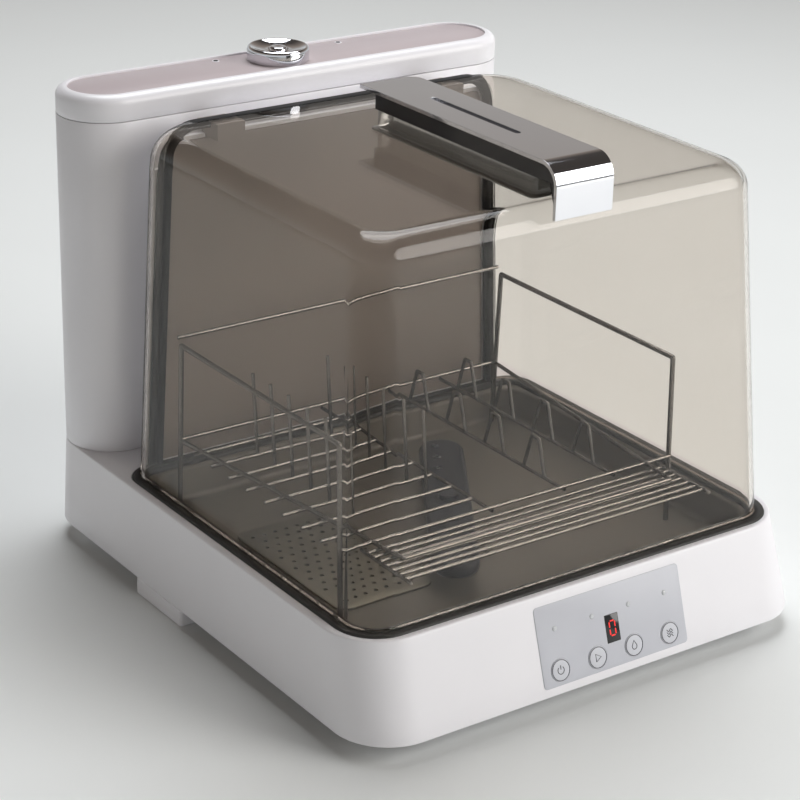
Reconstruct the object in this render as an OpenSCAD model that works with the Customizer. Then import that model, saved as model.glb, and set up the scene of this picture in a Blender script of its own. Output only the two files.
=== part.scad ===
// Countertop dishwasher: white base with a control panel, water column at the rear,
// smoky clear hood hinged at its rear top edge, wire dish rack and a spray arm.
// Millimetres, +Z up, front towards -Y, origin at the bottom centre of the bounding box.

/* [Base] */
// Width of the base at its top rim
base_w = 400; // [390:1:430]
// Depth of the base at its bottom edge
base_d = 465; // [455:1:500]
// Height of the base shell
base_h = 71; // [68:1:80]
// Widening of the base on each side at its bottom edge
base_flare = 4; // [2:0.5:6]
// Set-back of the front rim against the bottom edge
front_rake = 23; // [18:1:27]
// Plan radius of the front corners
base_corner_r = 44; // [42:1:50]
// Wall of the base shell
shell_t = 3; // [2.5:0.1:4]
// Thickness of the deck that carries the tub flange
deck_t = 7; // [6.5:0.1:8]
// Height of the feet below the shell
foot_h = 14; // [12:0.5:18]
// Reach of the drain spigot behind the base
spigot_out = 16; // [12:1:22]

/* [Column] */
// Depth of the water column
col_d = 74; // [70:1:80]
// Height of the column above the deck
col_h = 289; // [284:1:310]
// Height of the cover on top of the column
cover_h = 20; // [16:1:24]
// Wall of the column and of the cover
col_t = 3; // [2.5:0.1:4]
// Radius of the filler cap
cap_r = 24.7; // [22:0.1:27]
// Height of the filler cap above the cover's rim
cap_rise = 10; // [8:0.5:14]

/* [Hood] */
// Depth of the fixed frame between the column and the hood
back_d = 30.5; // [29:0.5:34]
// Height of the hood above the deck
hood_h = 273; // [265:1:280]
// Width of the hood's flat sides at their top
hood_w_top = 344; // [330:1:350]
// Set-back of the hood's front at the top
hood_rake = 25.5; // [20:0.5:32]
// Wall of the hood
hood_t = 3.5; // [3:0.1:4]
// Radius of the hood's top edges
hood_edge_r = 18; // [14:0.5:20]
// Plan radius of the hood's front corners
hood_front_r = 26; // [24:0.5:30]
// Plan radius of the hood's rear corners
hood_rear_r = 20; // [18:0.5:22]

/* [Handle] */
// Width of the chrome handle strip
strip_w = 50; // [44:1:56]
// Length of the strip's flat top
strip_l = 218; // [200:1:225]
// Height of the strip's top above the hood
strip_rise = 31; // [28:0.5:34]
// Thickness of the strip
strip_t = 3; // [2.5:0.1:4]

/* [Tub and rack] */
// Wall of the wash tub
tub_t = 2.5; // [2:0.1:3]
// Depth of the tub floor below the deck
tub_deep = 29; // [27:0.5:31]
// Radius that the spray arm sweeps
arm_r = 114; // [100:1:120]
// Angle of the spray arm at rest
arm_turn = 57; // [0:1:90]
// Half of the rack's width
rack_half = 152; // [146:1:153]
// Height of the rack's upper rail above the deck
rack_rail_h = 111; // [100:1:120]
// Height of the rack's floor above the deck
rack_floor_h = 26; // [22:1:30]
// Radius of the rack's rails
rail_r = 2; // [1.6:0.1:2.4]
// Radius of the rack's thin wires
wire_r = 1.4; // [1.2:0.1:1.8]

/* [Control panel] */
// Width of the control panel
panel_w = 134; // [130:1:140]
// Height of the control panel along the sloped front
panel_h = 60; // [58:1:60]
// Place of the panel's centre right of the middle
panel_x = 14; // [0:1:20]
// Radius of a key
key_r = 8.4; // [7.5:0.1:9.5]
// Distance between key centres
key_pitch = 34; // [30:0.5:36]
// Travel of a key
key_travel = 0.6; // [0.4:0.1:0.8]

/* [Hidden] */

$fn = 48;
hull_fn = 32;
eps = 0.01;
fit = 0.3;
run_fit = 0.05;

// Main planes
overall_d = base_d + spigot_out;
y_front = -overall_d / 2;
y_rear = y_front + base_d;
z_shell = foot_h;
z_deck = z_shell + base_h;
y_front_top = y_front + front_rake;
rake = atan(front_rake / base_h);
z_plate = z_shell + 2;
plate_t = 3;
z_in = z_plate + plate_t;

// Column
col_r = col_d / 2;
y_col = y_rear - col_r;
y_col_front = y_rear - col_d;
z_col_top = z_deck + col_h;
z_seam = z_col_top - cover_h;
panel_drop = 2;
cover_rim = 9;
inlay_t = 1.5;
z_inlay = z_col_top - panel_drop;

// Hood
rim_w = 7;
front_rim_w = 5;
ring_out = 7;
ring_in = 7;
ring_t = 3.4;
flange_t = 2;
seal_gap = 0.3;
rear_seal_t = 3.2;
rear_seal_w = 3;
seal_out = 3;
recess_t = 4;
ring_proud = ring_t + flange_t - recess_t;
hood_half_0 = base_w / 2 - rim_w - ring_out;
hood_half_1 = hood_w_top / 2;
hood_y_front = y_front_top + front_rim_w + ring_out;
hood_y_rear = y_col_front - back_d - seal_gap - rear_seal_t;
z_hood_top = z_deck + hood_h;
z_hood_0 = z_deck + ring_proud + seal_gap;
frame_front = y_col_front - back_d;

// Hinge
hinge_drop = 14;
hinge_back = 18;
y_axis = y_col_front - hinge_back;
z_axis = z_hood_top - hinge_drop;
barrel_r = 7.5;
pin_r = 3;
knuckle_r = 7;
knuckle_w = 24;
knuckle_x = 102;
pin_l = 48;
barrel_half = hood_half_1 - hood_rear_r - 26;

// Rear opening of the hood
rear_half_0 = hood_half_0 - hood_rear_r;
rear_half_1 = hood_half_1 - hood_rear_r;
rear_corner_r = 28;
frame_t = 3;
frame_lip = 5;
frame_lip_t = 4;

// Tub
z_floor = z_deck - tub_deep;
z_tub_under = z_floor - tub_t;
tub_half = hood_half_0 - ring_in;
tub_y0 = hood_y_front + ring_in;
tub_y1 = frame_front - fit - 0.5 - ring_in * 2;
ring_y1 = frame_front - fit - 0.5;
tub_corner_r = 24;
tub_mid_y = (tub_y0 + tub_y1) / 2;

// Wash circuit
hose_r = 7;
hose_t = 1.4;
z_pipe = z_in + 21.5;
z_fill = z_floor + hose_r + 3;
sump_x = -105;
sump_y = tub_mid_y + 32;
sump_r = 29.5;
sump_wall = 2.5;
filter_w = 84;
filter_d = 146;
pump_y = y_col_front - 12;
pump_l = 22;
pump_r = 20;
motor_l = 50;
motor_r = 19;
shaft_r = 2;
post_r = 8.8;
spindle_r = 5;
hub_r = 13;
z_hub = z_floor + 12;
hub_h = 13;
nut_h = 4;
drain_z = z_in + 8.2;
drain_r = 5.5;
drain_x = sump_x + 46;
drain_y = sump_y;
drain_pump_r = 12.5;
spigot_r = 6;

// Posts for the bottom screws
post_x = base_w / 2 - 12;
rear_post_x = 150;
screw_points = [
    [-post_x, y_front + 80], [post_x, y_front + 80],
    [-post_x, y_col_front - 26], [post_x, y_col_front - 26],
    [-rear_post_x, y_rear - 12], [rear_post_x, y_rear - 12]];
boss_r = 5;
screw_r = 1.6;
screw_head_r = 3.2;
screw_head_t = 2;
screw_l = 12;

// Rack
z_rail = z_deck + rack_rail_h;
z_rack = z_deck + rack_floor_h;
rack_y1 = tub_y1 - tub_t - rail_r - 3;
rack_y0 = hood_y_front + 78;
shelf_y0 = hood_y_front + 16;
floor_wires = 8;
shelf_wires = 7;
prong_h = 62;
prong_lean = 7;
loop_h = 34;
weld = 0.02;
prong_rows = [-112, -44];
prong_count = 6;
loop_xs = [48, 96];

// Control panel
panel_t = 1.2;
panel_in = 0.8;
panel_top = 8;
panel_v = -(panel_top + panel_h / 2);
key_v = -57;
lamp_v = -26.5;
lamp_r = 1.5;
window_w = 12.5;
window_h = 21;
window_v = -39.5;
key_proud = 1;
key_l = 5;
key_flange_r = key_r + 1.4;
key_flange_t = 1.2;
key_xs = [for (i = [-1.5, -0.5, 0.5, 1.5]) panel_x + i * key_pitch];
board_v = -40;
board_w = panel_w - 10;
board_h = 46;
board_t = 1.6;
board_z = -(shell_t + fit + key_flange_t + key_travel + 2.5);

// Handle
handle_set = 8.5;
strip_y0 = hood_edge(z_hood_top) + handle_set;
strip_y1 = strip_y0 + strip_l;
z_strip = z_hood_top + strip_rise;
bend_out = 17;
flap_drop = 8;
plinth_h = 15;
base_inset = 4;
handle_back = 15;

// Tank
tank_gap = 1;
tank_t = 2;
tank_low = 3;
tank_top_gap = 2;
valve_x = 62;
float_x = 118;
float_r = 12;
float_h = 20;
stem_r = 3;
float_rise = 150;
neck_x = -7;
neck_r = 18.5;
neck_in = 16.5;
cap_stem_r = 16.2;
neck_l = 30;

white = [0.93, 0.93, 0.94];
grey = [0.62, 0.6, 0.58];
dark = [0.16, 0.16, 0.17];
steel = [0.75, 0.75, 0.76];
smoke = [0.45, 0.41, 0.38, 0.45];
navy = [0.1, 0.12, 0.18];
rubber = [0.06, 0.06, 0.06];

// Half of the base's width and its front edge at a height
function base_half(z) = base_w / 2 + base_flare * (z_deck - z) / base_h;
function base_edge(z) = y_front + front_rake * (z - z_shell) / base_h;

// Half of the hood's width and its front edge at a height
function hood_half(z) = hood_half_0 + (hood_half_1 - hood_half_0) * (z - z_deck) / hood_h;
function hood_edge(z) = hood_y_front + hood_rake * (z - z_deck) / hood_h;

// Rectangle with round corners, centred
module round_rect(w, d, r) {
    square([w - 2 * r, d], center = true);
    square([w, d - 2 * r], center = true);
    for (x = [-1, 1], y = [-1, 1])
        translate([x * (w / 2 - r), y * (d / 2 - r)]) circle(r);
}

// Plate with round corners between two depths
module round_plate(half, y0, y1, r, z0, z1) {
    translate([0, (y0 + y1) / 2, z0])
        linear_extrude(z1 - z0) round_rect(2 * half, y1 - y0, r);
}

// Oblong with full round ends, centred
module oblong(w, d) {
    square([w - d, d], center = true);
    for (x = [-1, 1])
        translate([x * (w - d) / 2, 0]) circle(d / 2);
}

// Column section between two heights
module column_block(inset, z0, z1) {
    translate([0, y_col, z0])
        linear_extrude(z1 - z0) oblong(base_w - 2 * inset, col_d - 2 * inset);
}

// Thin section of a form with its own front and rear corner radii
module section(half, y0, y1, r0, r1, z) {
    translate([0, 0, z]) linear_extrude(eps) {
        for (s = [-1, 1]) {
            translate([s * (half - r0), y0 + r0]) circle(r0, $fn = hull_fn);
            translate([s * (half - r1), y1 - r1]) circle(r1, $fn = hull_fn);
        }
    }
}

// Base body, drawn in by an inset
module base_form(inset, z0, z1) {
    hull() {
        for (z = [z0, z1 - eps])
            section(base_half(z) - inset, base_edge(z) + inset, y_rear - inset,
                base_corner_r - inset, col_r - inset, z);
    }
}

// Ball whose poles lie on its full radius
module ball(r) {
    rotate_extrude($fn = hull_fn) intersection() {
        circle(r, $fn = hull_fn);
        translate([0, -r]) square([r, 2 * r]);
    }
}

// Hood body, drawn in by an inset and reaching down to a height
module hood_form(inset, z0) {
    r = hood_edge_r - inset;
    z1 = z_hood_top - inset;
    half_1 = hood_half(z_hood_top) - inset;
    intersection() {
        hull() {
            for (s = [-1, 1]) {
                translate([s * (half_1 - r), hood_edge(z_hood_top) + inset + r, z1 - r])
                    ball(r);
                translate([s * (half_1 - r), hood_y_rear - inset, z1 - r])
                    rotate([90, 0, 0]) cylinder(r = r, h = eps, $fn = hull_fn);
            }
            translate([-hood_half(z0) + inset, hood_edge(z0) + inset, z0])
                cube([2 * (hood_half(z0) - inset), hood_y_rear - hood_edge(z0) - 2 * inset, eps]);
        }
        hull() {
            for (z = [z0, z1])
                section(hood_half(z) - inset, hood_edge(z) + inset, hood_y_rear - inset,
                    hood_front_r - inset, hood_rear_r - inset, z);
        }
    }
}

// Outline of the hood's rear opening, seen from the front, offset outwards
module rear_outline(out, z0, z1) {
    s = (rear_half_0 - rear_half_1) / hood_h;
    r = rear_corner_r + out;
    top = z_hood_top + out;
    k = sqrt(1 + s * s);
    edge_1 = rear_half_1 + out * k - out * s;
    cx = edge_1 + r * s - r * k;
    cz = top - r;
    edge_0 = edge_1 + (top - z0) * s;
    intersection() {
        union() {
            polygon([[-edge_0, z0], [edge_0, z0], [cx + r / k, cz + r * s / k], [cx, top],
                [-cx, top], [-cx - r / k, cz + r * s / k]]);
            for (m = [-1, 1])
                translate([m * cx, cz]) circle(r);
        }
        translate([-base_w / 2, z0]) square([base_w, z1 - z0]);
    }
}

// Outline pushed back along +Y from a plane
module rear_block(out, y0, depth, z0, z1) {
    translate([0, y0 + depth, 0])
        rotate([90, 0, 0]) linear_extrude(depth) rear_outline(out, z0, z1);
}

// Frame of the sloped front: local x along X, y up the slope, z outwards
module on_front() {
    translate([0, y_front_top, z_deck])
        rotate([90 - rake, 0, 0]) children();
}

// Straight rod between two points
module rod(a, b, r) {
    d = b - a;
    l = norm(d);
    translate(a)
        rotate([0, acos(d[2] / l), atan2(d[1], d[0])])
            cylinder(r = r, h = l, $fn = 24);
}

// Chain of rods with round joints
module wire(points, r) {
    for (i = [0 : len(points) - 2])
        rod(points[i], points[i + 1], r);
    for (i = [1 : len(points) - 2])
        translate(points[i]) sphere(r, $fn = 24);
}

// Base shell
module base_shell() {
    color(white) difference() {
        union() {
            difference() {
                base_form(0, z_shell, z_deck);
                base_form(shell_t, z_shell - 1, z_deck - deck_t);
            }
            for (p = screw_points)
                translate([p[0], p[1], z_in])
                    cylinder(r = boss_r, h = z_deck - deck_t - z_in + eps);
        }
        round_plate(tub_half + fit, tub_y0 - fit, tub_y1 + fit, tub_corner_r + fit,
            z_deck - deck_t - 1, z_deck + 1);
        round_plate(hood_half_0 + ring_out + fit, hood_y_front - ring_out - fit, ring_y1 + fit,
            hood_front_r + ring_out, z_deck - recess_t, z_deck + 1);
        for (p = screw_points)
            translate([p[0], p[1], z_in - 1])
                cylinder(r = screw_r - run_fit, h = screw_l + 1, $fn = 24);
        translate([valve_x, y_col, z_deck - deck_t - 1])
            cylinder(r = hose_r + 2 + fit, h = deck_t + 2);
        for (p = [[drain_x, drain_z, collar_r + run_fit], [gland_x, z_gland, gland_r + run_fit]])
            translate([p[0], y_rear + 1, p[1]])
                rotate([90, 0, 0]) cylinder(r = p[2], h = shell_t + 5);
        on_front() {
            translate([panel_x, panel_v, -panel_in])
                linear_extrude(5) round_rect(panel_w + 0.2, panel_h + 0.2, 3);
            for (x = key_xs)
                translate([x, key_v, -shell_t - 2]) cylinder(r = key_r + fit, h = 5);
        }
    }
}

// Bottom plate
module base_plate() {
    half = base_half(z_plate) - shell_t - fit;
    y0 = base_edge(z_plate) + shell_t + 1.3;
    color(dark) difference() {
        round_plate(half, y0, y_rear - shell_t - fit, base_corner_r - shell_t, z_plate, z_in);
        for (p = screw_points)
            translate([p[0], p[1], z_plate - 1]) {
                cylinder(r = screw_r + 0.2, h = plate_t + 2, $fn = 24);
                cylinder(r = screw_head_r + fit, h = screw_head_t + 1, $fn = 24);
            }
        for (i = [0 : 6])
            translate([90 + i * 9, y_col, z_plate - 1])
                linear_extrude(plate_t + 2) oblong_y(4, 40);
    }
}

// Slot along Y
module oblong_y(w, l) {
    rotate(90) oblong(l, w);
}

// Screws that hold the bottom plate
module base_screws() {
    color(steel)
        for (p = screw_points)
            translate([p[0], p[1], z_plate]) {
                cylinder(r = screw_head_r, h = screw_head_t, $fn = 24);
                cylinder(r = screw_r - 2 * run_fit, h = plate_t + screw_l - 1, $fn = 24);
            }
}

// Round front feet
foot_r = 14;
foot_x = base_w / 2 - 43;
foot_y = y_front + 36.5;
module front_feet() {
    color(dark)
        for (s = [-1, 1])
            translate([s * foot_x, foot_y, 0])
                cylinder(r = foot_r, h = z_plate);
}

// Long rear feet
rear_foot_w = 22;
rear_foot_l = 68;
rear_foot_set = 4;
rear_foot_y = y_col_front - 104;
module rear_feet() {
    x = base_half(z_shell) - 0.5 - rear_foot_w / 2;
    tenon_w = rear_foot_w - 2 * rear_foot_set;
    color(white)
        for (s = [-1, 1])
            translate([s * x, rear_foot_y, 0]) {
                linear_extrude(z_shell) round_rect(rear_foot_w, rear_foot_l, 3);
                translate([-s * rear_foot_set, 0, 0])
                    linear_extrude(z_plate) round_rect(tenon_w, rear_foot_l - 8, 3);
            }
}

// Wash tub with its flange
module wash_tub() {
    color(grey) difference() {
        union() {
            round_plate(tub_half, tub_y0, tub_y1, tub_corner_r, z_tub_under, z_deck);
            round_plate(hood_half_0 + ring_out, hood_y_front - ring_out, ring_y1,
                hood_front_r + ring_out, z_deck - recess_t, z_deck - recess_t + flange_t);
        }
        round_plate(tub_half - tub_t, tub_y0 + tub_t, tub_y1 - tub_t, tub_corner_r - tub_t,
            z_floor, z_deck + 1);
        translate([0, tub_mid_y, z_tub_under - 1])
            cylinder(r = post_r + run_fit, h = tub_t + 2);
        translate([sump_x, sump_y, z_tub_under - 1])
            cylinder(r = sump_r - sump_wall, h = tub_t + 2);
        translate([valve_x, tub_y1 + 1, z_fill])
            rotate([90, 0, 0]) cylinder(r = hose_r - hose_t, h = tub_t + 2);
    }
}

// Black sealing ring round the tub, under the hood's edge
module tub_seal() {
    color(rubber) difference() {
        round_plate(hood_half_0 + ring_out, hood_y_front - ring_out, ring_y1,
            hood_front_r + ring_out, z_deck - recess_t + flange_t, z_deck + ring_proud);
        round_plate(tub_half + fit, tub_y0 - fit, tub_y1 + fit, tub_corner_r + fit,
            z_deck - recess_t, z_deck + ring_proud + 1);
    }
}

// Cup below the tub floor
sump_low = z_in + 8;
module sump_cup() {
    color(dark) translate([sump_x, sump_y, 0]) difference() {
        union() {
            translate([0, 0, sump_low]) cylinder(r = sump_r, h = z_tub_under - sump_low);
            translate([0, 0, z_tub_under - 2]) cylinder(r = sump_r + 6, h = 2);
        }
        translate([0, 0, sump_low + sump_wall])
            cylinder(r = sump_r - sump_wall, h = z_tub_under - sump_low);
        translate([0, 0, z_pipe]) {
            rotate([-90, 0, 0]) cylinder(r = hose_r - hose_t, h = sump_r + 10);
            rotate([0, 90, 0]) cylinder(r = drain_r, h = sump_r + 10);
        }
    }
}

// Perforated filter plate with its strainer
filter_t = 2;
strainer_r = sump_r - sump_wall - 2;
module sump_filter() {
    color(steel) translate([sump_x, sump_y, z_floor]) difference() {
        union() {
            translate([0, tub_mid_y - sump_y, 0])
                linear_extrude(filter_t) round_rect(filter_w, filter_d, 10);
            translate([0, 0, sump_low + sump_wall + 3 - z_floor])
                cylinder(r = strainer_r, h = z_floor - sump_low - sump_wall - 3 + eps);
        }
        translate([0, 0, sump_low + sump_wall + 5 - z_floor])
            cylinder(r = strainer_r - 1.5, h = z_floor - sump_low - sump_wall - 5);
        for (i = [-3 : 3], j = [-5 : 5])
            translate([i * 11, tub_mid_y - sump_y + j * 12.5, -1])
                cylinder(r = 2, h = filter_t + 2, $fn = 16);
    }
}

// Hose from the sump to the wash pump
module sump_hose() {
    y0 = sump_y + sump_r + 0.2;
    l = pump_y - pump_l / 2 - y0 - 0.2;
    color(dark) translate([sump_x, y0, z_pipe]) rotate([-90, 0, 0]) difference() {
        cylinder(r = hose_r, h = l);
        translate([0, 0, -1]) cylinder(r = hose_r - hose_t, h = l + 2);
    }
}

// Volute of the wash pump
pump_wall = 3;
module pump_housing() {
    color(dark) translate([sump_x, pump_y, z_pipe]) difference() {
        union() {
            rotate([90, 0, 0]) cylinder(r = pump_r, h = pump_l, center = true);
            translate([0, 0, z_in - z_pipe])
                linear_extrude(8) square([26, pump_l], center = true);
        }
        rotate([90, 0, 0]) cylinder(r = pump_r - pump_wall, h = pump_l - 2 * pump_wall, center = true);
        rotate([90, 0, 0]) cylinder(r = hose_r - hose_t, h = pump_l);
        rotate([-90, 0, 0]) cylinder(r = shaft_r + run_fit, h = pump_l);
        rotate([0, 90, 0]) cylinder(r = hose_r - hose_t, h = pump_r + 5);
    }
}

// Impeller on its shaft
module pump_impeller() {
    blade_r = pump_r - pump_wall - 1.5;
    color(navy) translate([sump_x, pump_y, z_pipe]) {
        rotate([90, 0, 0]) cylinder(r = 4, h = 9, center = true);
        for (a = [0 : 60 : 300])
            rotate([0, a, 0]) translate([0, -4, -0.8]) cube([blade_r, 8, 1.6]);
        rotate([-90, 0, 0]) cylinder(r = shaft_r, h = pump_l / 2 + 10);
    }
}

// Motor of the wash pump
module pump_motor() {
    color(steel) translate([sump_x, pump_y + pump_l / 2, z_pipe]) difference() {
        union() {
            rotate([-90, 0, 0]) cylinder(r = motor_r, h = motor_l);
            translate([0, motor_l / 2, z_in - z_pipe])
                linear_extrude(6) square([24, motor_l - 12], center = true);
        }
        translate([0, -1, 0]) rotate([-90, 0, 0]) cylinder(r = shaft_r + run_fit, h = 14);
    }
}

// Hose from the pump to the spray post
module delivery_hose() {
    color(dark)
        wire([[sump_x + pump_r + 0.2, pump_y, z_pipe], [0, pump_y, z_pipe],
            [0, tub_mid_y, z_pipe], [0, tub_mid_y, z_tub_under - 2]], hose_r);
}

// Straight hose along Z
module tube(r, l) {
    difference() {
        cylinder(r = r, h = l);
        translate([0, 0, -1]) cylinder(r = r - hose_t, h = l + 2);
    }
}

// Drain pump beside the sump
module drain_pump() {
    x0 = sump_x + sump_r + 0.2;
    volute_l = 18;
    color(dark) translate([x0, sump_y, z_pipe]) {
        rotate([0, 90, 0]) cylinder(r = drain_r + 1.5, h = 8);
        translate([8, 0, 0]) rotate([0, 90, 0]) cylinder(r = drain_pump_r, h = volute_l);
        translate([8 + volute_l, 0, 0]) rotate([0, 90, 0]) cylinder(r = drain_pump_r - 2, h = 22);
        translate([8, -8, -z_pipe + z_in]) cube([volute_l, 16, z_pipe - z_in]);
    }
}

// Hose from the drain pump to the spigot
module drain_hose() {
    y0 = sump_y + 10;
    l = y_rear - shell_t - 6 - y0;
    color(rubber) translate([drain_x, y0, drain_z]) rotate([-90, 0, 0]) difference() {
        cylinder(r = drain_r, h = l);
        translate([0, 0, -1]) cylinder(r = drain_r - hose_t, h = l + 2);
    }
}

// Drain outlet for a hose
collar_r = spigot_r + 1;
module drain_spigot() {
    y_in = y_rear - shell_t;
    color(dark) translate([drain_x, 0, drain_z]) rotate([-90, 0, 0]) difference() {
        union() {
            translate([0, 0, y_in - 5.8]) cylinder(r = spigot_r, h = spigot_out + shell_t + 5.8);
            translate([0, 0, y_in - 3]) cylinder(r = collar_r, h = shell_t + 3);
            translate([0, 0, y_in - 3]) cylinder(r = collar_r + 1, h = 3);
        }
        translate([0, 0, y_in - 7]) cylinder(r = spigot_r - 2, h = spigot_out + shell_t + 8);
    }
}

// Flow heater under the tub, on two saddles
heater_r = 11;
heater_l = 120;
heater_gap = 19;
heater_y = tub_mid_y - 60;
saddle_w = 8;
saddle_in = 14;
module heater_tube() {
    color(steel) translate([tub_half - heater_gap - heater_l, heater_y, z_pipe]) {
        rotate([0, 90, 0]) cylinder(r = heater_r, h = heater_l);
        for (x = [saddle_in, heater_l - saddle_in - saddle_w])
            translate([x, -saddle_w, z_in - z_pipe]) cube([saddle_w, 2 * saddle_w, z_pipe - z_in]);
    }
}

// Fixed post that feeds the spray arm
module spray_post() {
    color(dark) translate([0, tub_mid_y, 0]) difference() {
        union() {
            translate([0, 0, z_tub_under - 2]) cylinder(r = post_r + 5, h = 2);
            translate([0, 0, z_tub_under]) cylinder(r = post_r, h = z_hub - fit - z_tub_under);
            translate([0, 0, z_hub - 1]) cylinder(r = spindle_r, h = hub_h + nut_h + 1);
        }
        translate([0, 0, z_tub_under - 3]) cylinder(r = spindle_r - 1.6, h = z_hub + 8 - z_tub_under);
    }
}

// Nut that keeps the spray arm on its post
module spray_nut() {
    color(navy) translate([0, tub_mid_y, z_hub + hub_h + fit]) difference() {
        cylinder(r = 8, h = nut_h);
        translate([0, 0, -1]) cylinder(r = spindle_r + eps, h = nut_h + 2 - 1 - fit);
    }
}

// Spray arm
arm_w = 36;
arm_t = 12;
module spray_arm() {
    color(navy) translate([0, tub_mid_y, z_hub]) rotate(arm_turn) difference() {
        union() {
            cylinder(r = hub_r, h = hub_h);
            translate([0, 0, 0.5]) linear_extrude(arm_t) oblong(2 * arm_r, arm_w);
        }
        translate([0, 0, -1]) cylinder(r = spindle_r + run_fit, h = hub_h + 2);
        for (i = [1 : 4], s = [-1, 1])
            translate([s * (14 + i * 21), s * 5, arm_t - 2]) cylinder(r = 1.6, h = 5, $fn = 16);
    }
}

// Rails and legs of the dish rack
leg_z = z_floor + 0.2;
low_r = rail_r - 0.3;
cross_r = rail_r - 0.5;
module rack_frame() {
    color(steel) {
        for (s = [-1, 1]) {
            wire([[s * rack_half, rack_y1, leg_z], [s * rack_half, rack_y1, z_rail],
                [s * rack_half, rack_y0, z_rail], [s * rack_half, rack_y0, leg_z]], rail_r);
            rod([s * rack_half, rack_y1, z_rack], [s * rack_half, shelf_y0, z_rack], low_r);
            translate([s * rack_half, shelf_y0, z_rack]) sphere(rail_r, $fn = 24);
        }
        for (p = [[rack_y1, z_rail], [rack_y1, z_rack], [rack_y0, z_rack], [shelf_y0, z_rack]])
            rod([-rack_half, p[0], p[1]], [rack_half, p[0], p[1]], cross_r);
    }
}

// Floor of the rack: short cross wires on the left, long wires under their ends and the loops
floor_x = -20;
z_wire = z_rack - low_r - wire_r - weld;
z_on_wire = z_wire + wire_r + weld;
wire_step = (rack_y1 - rack_y0) / (floor_wires + 1);
module rack_floor() {
    color(steel)
        for (i = [1 : floor_wires])
            rod([-rack_half - 1, rack_y0 + i * wire_step, z_wire],
                [floor_x, rack_y0 + i * wire_step, z_wire], wire_r);
    color(steel)
        for (x = concat([floor_x], loop_xs))
            rod([x, rack_y0, z_wire], [x, rack_y1, z_wire], wire_r);
}

// Upright prongs between which plates stand
module plate_prongs() {
    color(steel)
        for (x = prong_rows, i = [2 : prong_count + 1])
            rod([x, rack_y0 + i * wire_step, z_on_wire],
                [x, rack_y0 + i * wire_step + prong_lean, z_rack + prong_h], wire_r);
}

// Low loops that hold bowls and glasses
module bowl_loops() {
    color(steel)
        for (x = loop_xs, i = [1, 3, 5, 7])
            wire([[x, rack_y0 + i * wire_step, z_on_wire], [x, rack_y0 + i * wire_step, z_rack + loop_h],
                [x, rack_y0 + (i + 1) * wire_step, z_rack + loop_h],
                [x, rack_y0 + (i + 1) * wire_step, z_on_wire]], wire_r);
}

// Wires of the cutlery shelf at the front, tied by a wire at each end
shelf_in = 15;
module cutlery_shelf() {
    step = (rack_y0 - shelf_y0) / (shelf_wires + 1);
    x = rack_half - shelf_in;
    color(steel) {
        for (i = [1 : shelf_wires])
            rod([-x, shelf_y0 + i * step, z_wire], [x, shelf_y0 + i * step, z_wire], wire_r);
        for (s = [-1, 1])
            rod([s * x, shelf_y0, z_wire], [s * x, rack_y0, z_wire], wire_r);
    }
}

// Panel plate on the sloped front
module control_panel() {
    color([0.8, 0.8, 0.82]) on_front() difference() {
        translate([panel_x, panel_v, -panel_in])
            linear_extrude(panel_t) round_rect(panel_w, panel_h, 3);
        for (x = key_xs) {
            translate([x, key_v, -2]) cylinder(r = key_r + fit, h = 4);
            translate([x, lamp_v, -2]) cylinder(r = lamp_r + run_fit, h = 4);
        }
        translate([panel_x, window_v, 0]) cube([window_w + 0.2, window_h + 0.2, 4], center = true);
    }
}

// Black display window
module display_window() {
    color(rubber) on_front()
        translate([panel_x - window_w / 2, window_v - window_h / 2, -panel_in])
            cube([window_w, window_h, panel_t + 0.1]);
}

// Lit seven-segment digit on the window
digit_w = 6;
digit_h = 12;
digit_s = 1.2;
module display_digit() {
    z = panel_t + 0.1 - panel_in;
    color([0.9, 0.1, 0.08]) on_front() translate([panel_x, window_v, z])
        linear_extrude(0.2) {
            for (s = [-1, 1]) {
                translate([0, s * digit_h / 2]) square([digit_w - digit_s, digit_s], center = true);
                for (v = [-1, 1])
                    translate([s * digit_w / 2, v * digit_h / 4])
                        square([digit_s, digit_h / 2 - digit_s - 0.4], center = true);
            }
        }
}

// Indicator lamps above the keys
module indicator_lenses() {
    color([0.95, 0.95, 0.95]) on_front()
        for (x = key_xs)
            translate([x, lamp_v, -panel_in]) cylinder(r = lamp_r, h = panel_t + 0.2, $fn = 24);
}

// Round key that travels inwards
module key(x) {
    color(white) on_front() translate([x, key_v, 0]) {
        translate([0, 0, -key_l]) cylinder(r = key_r, h = key_l + key_proud);
        translate([0, 0, -shell_t - fit - key_flange_t]) cylinder(r = key_flange_r, h = key_flange_t);
    }
}
module key_1() { key(key_xs[0]); }
module key_2() { key(key_xs[1]); }
module key_3() { key(key_xs[2]); }
module key_4() { key(key_xs[3]); }

// Board with the key switches behind the panel
module control_board() {
    color([0.1, 0.35, 0.2]) on_front() {
        translate([panel_x, board_v, board_z - board_t])
            linear_extrude(board_t) square([board_w, board_h], center = true);
        for (x = key_xs)
            translate([x, key_v, board_z]) cylinder(r = 2, h = -key_l - key_travel - fit - board_z);
        for (s = [-1, 1])
            translate([panel_x + s * (board_w / 2 - 4), board_v + board_h / 2 - 5, board_z])
                cylinder(r = 2.5, h = -shell_t - board_z);
    }
}

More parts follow.
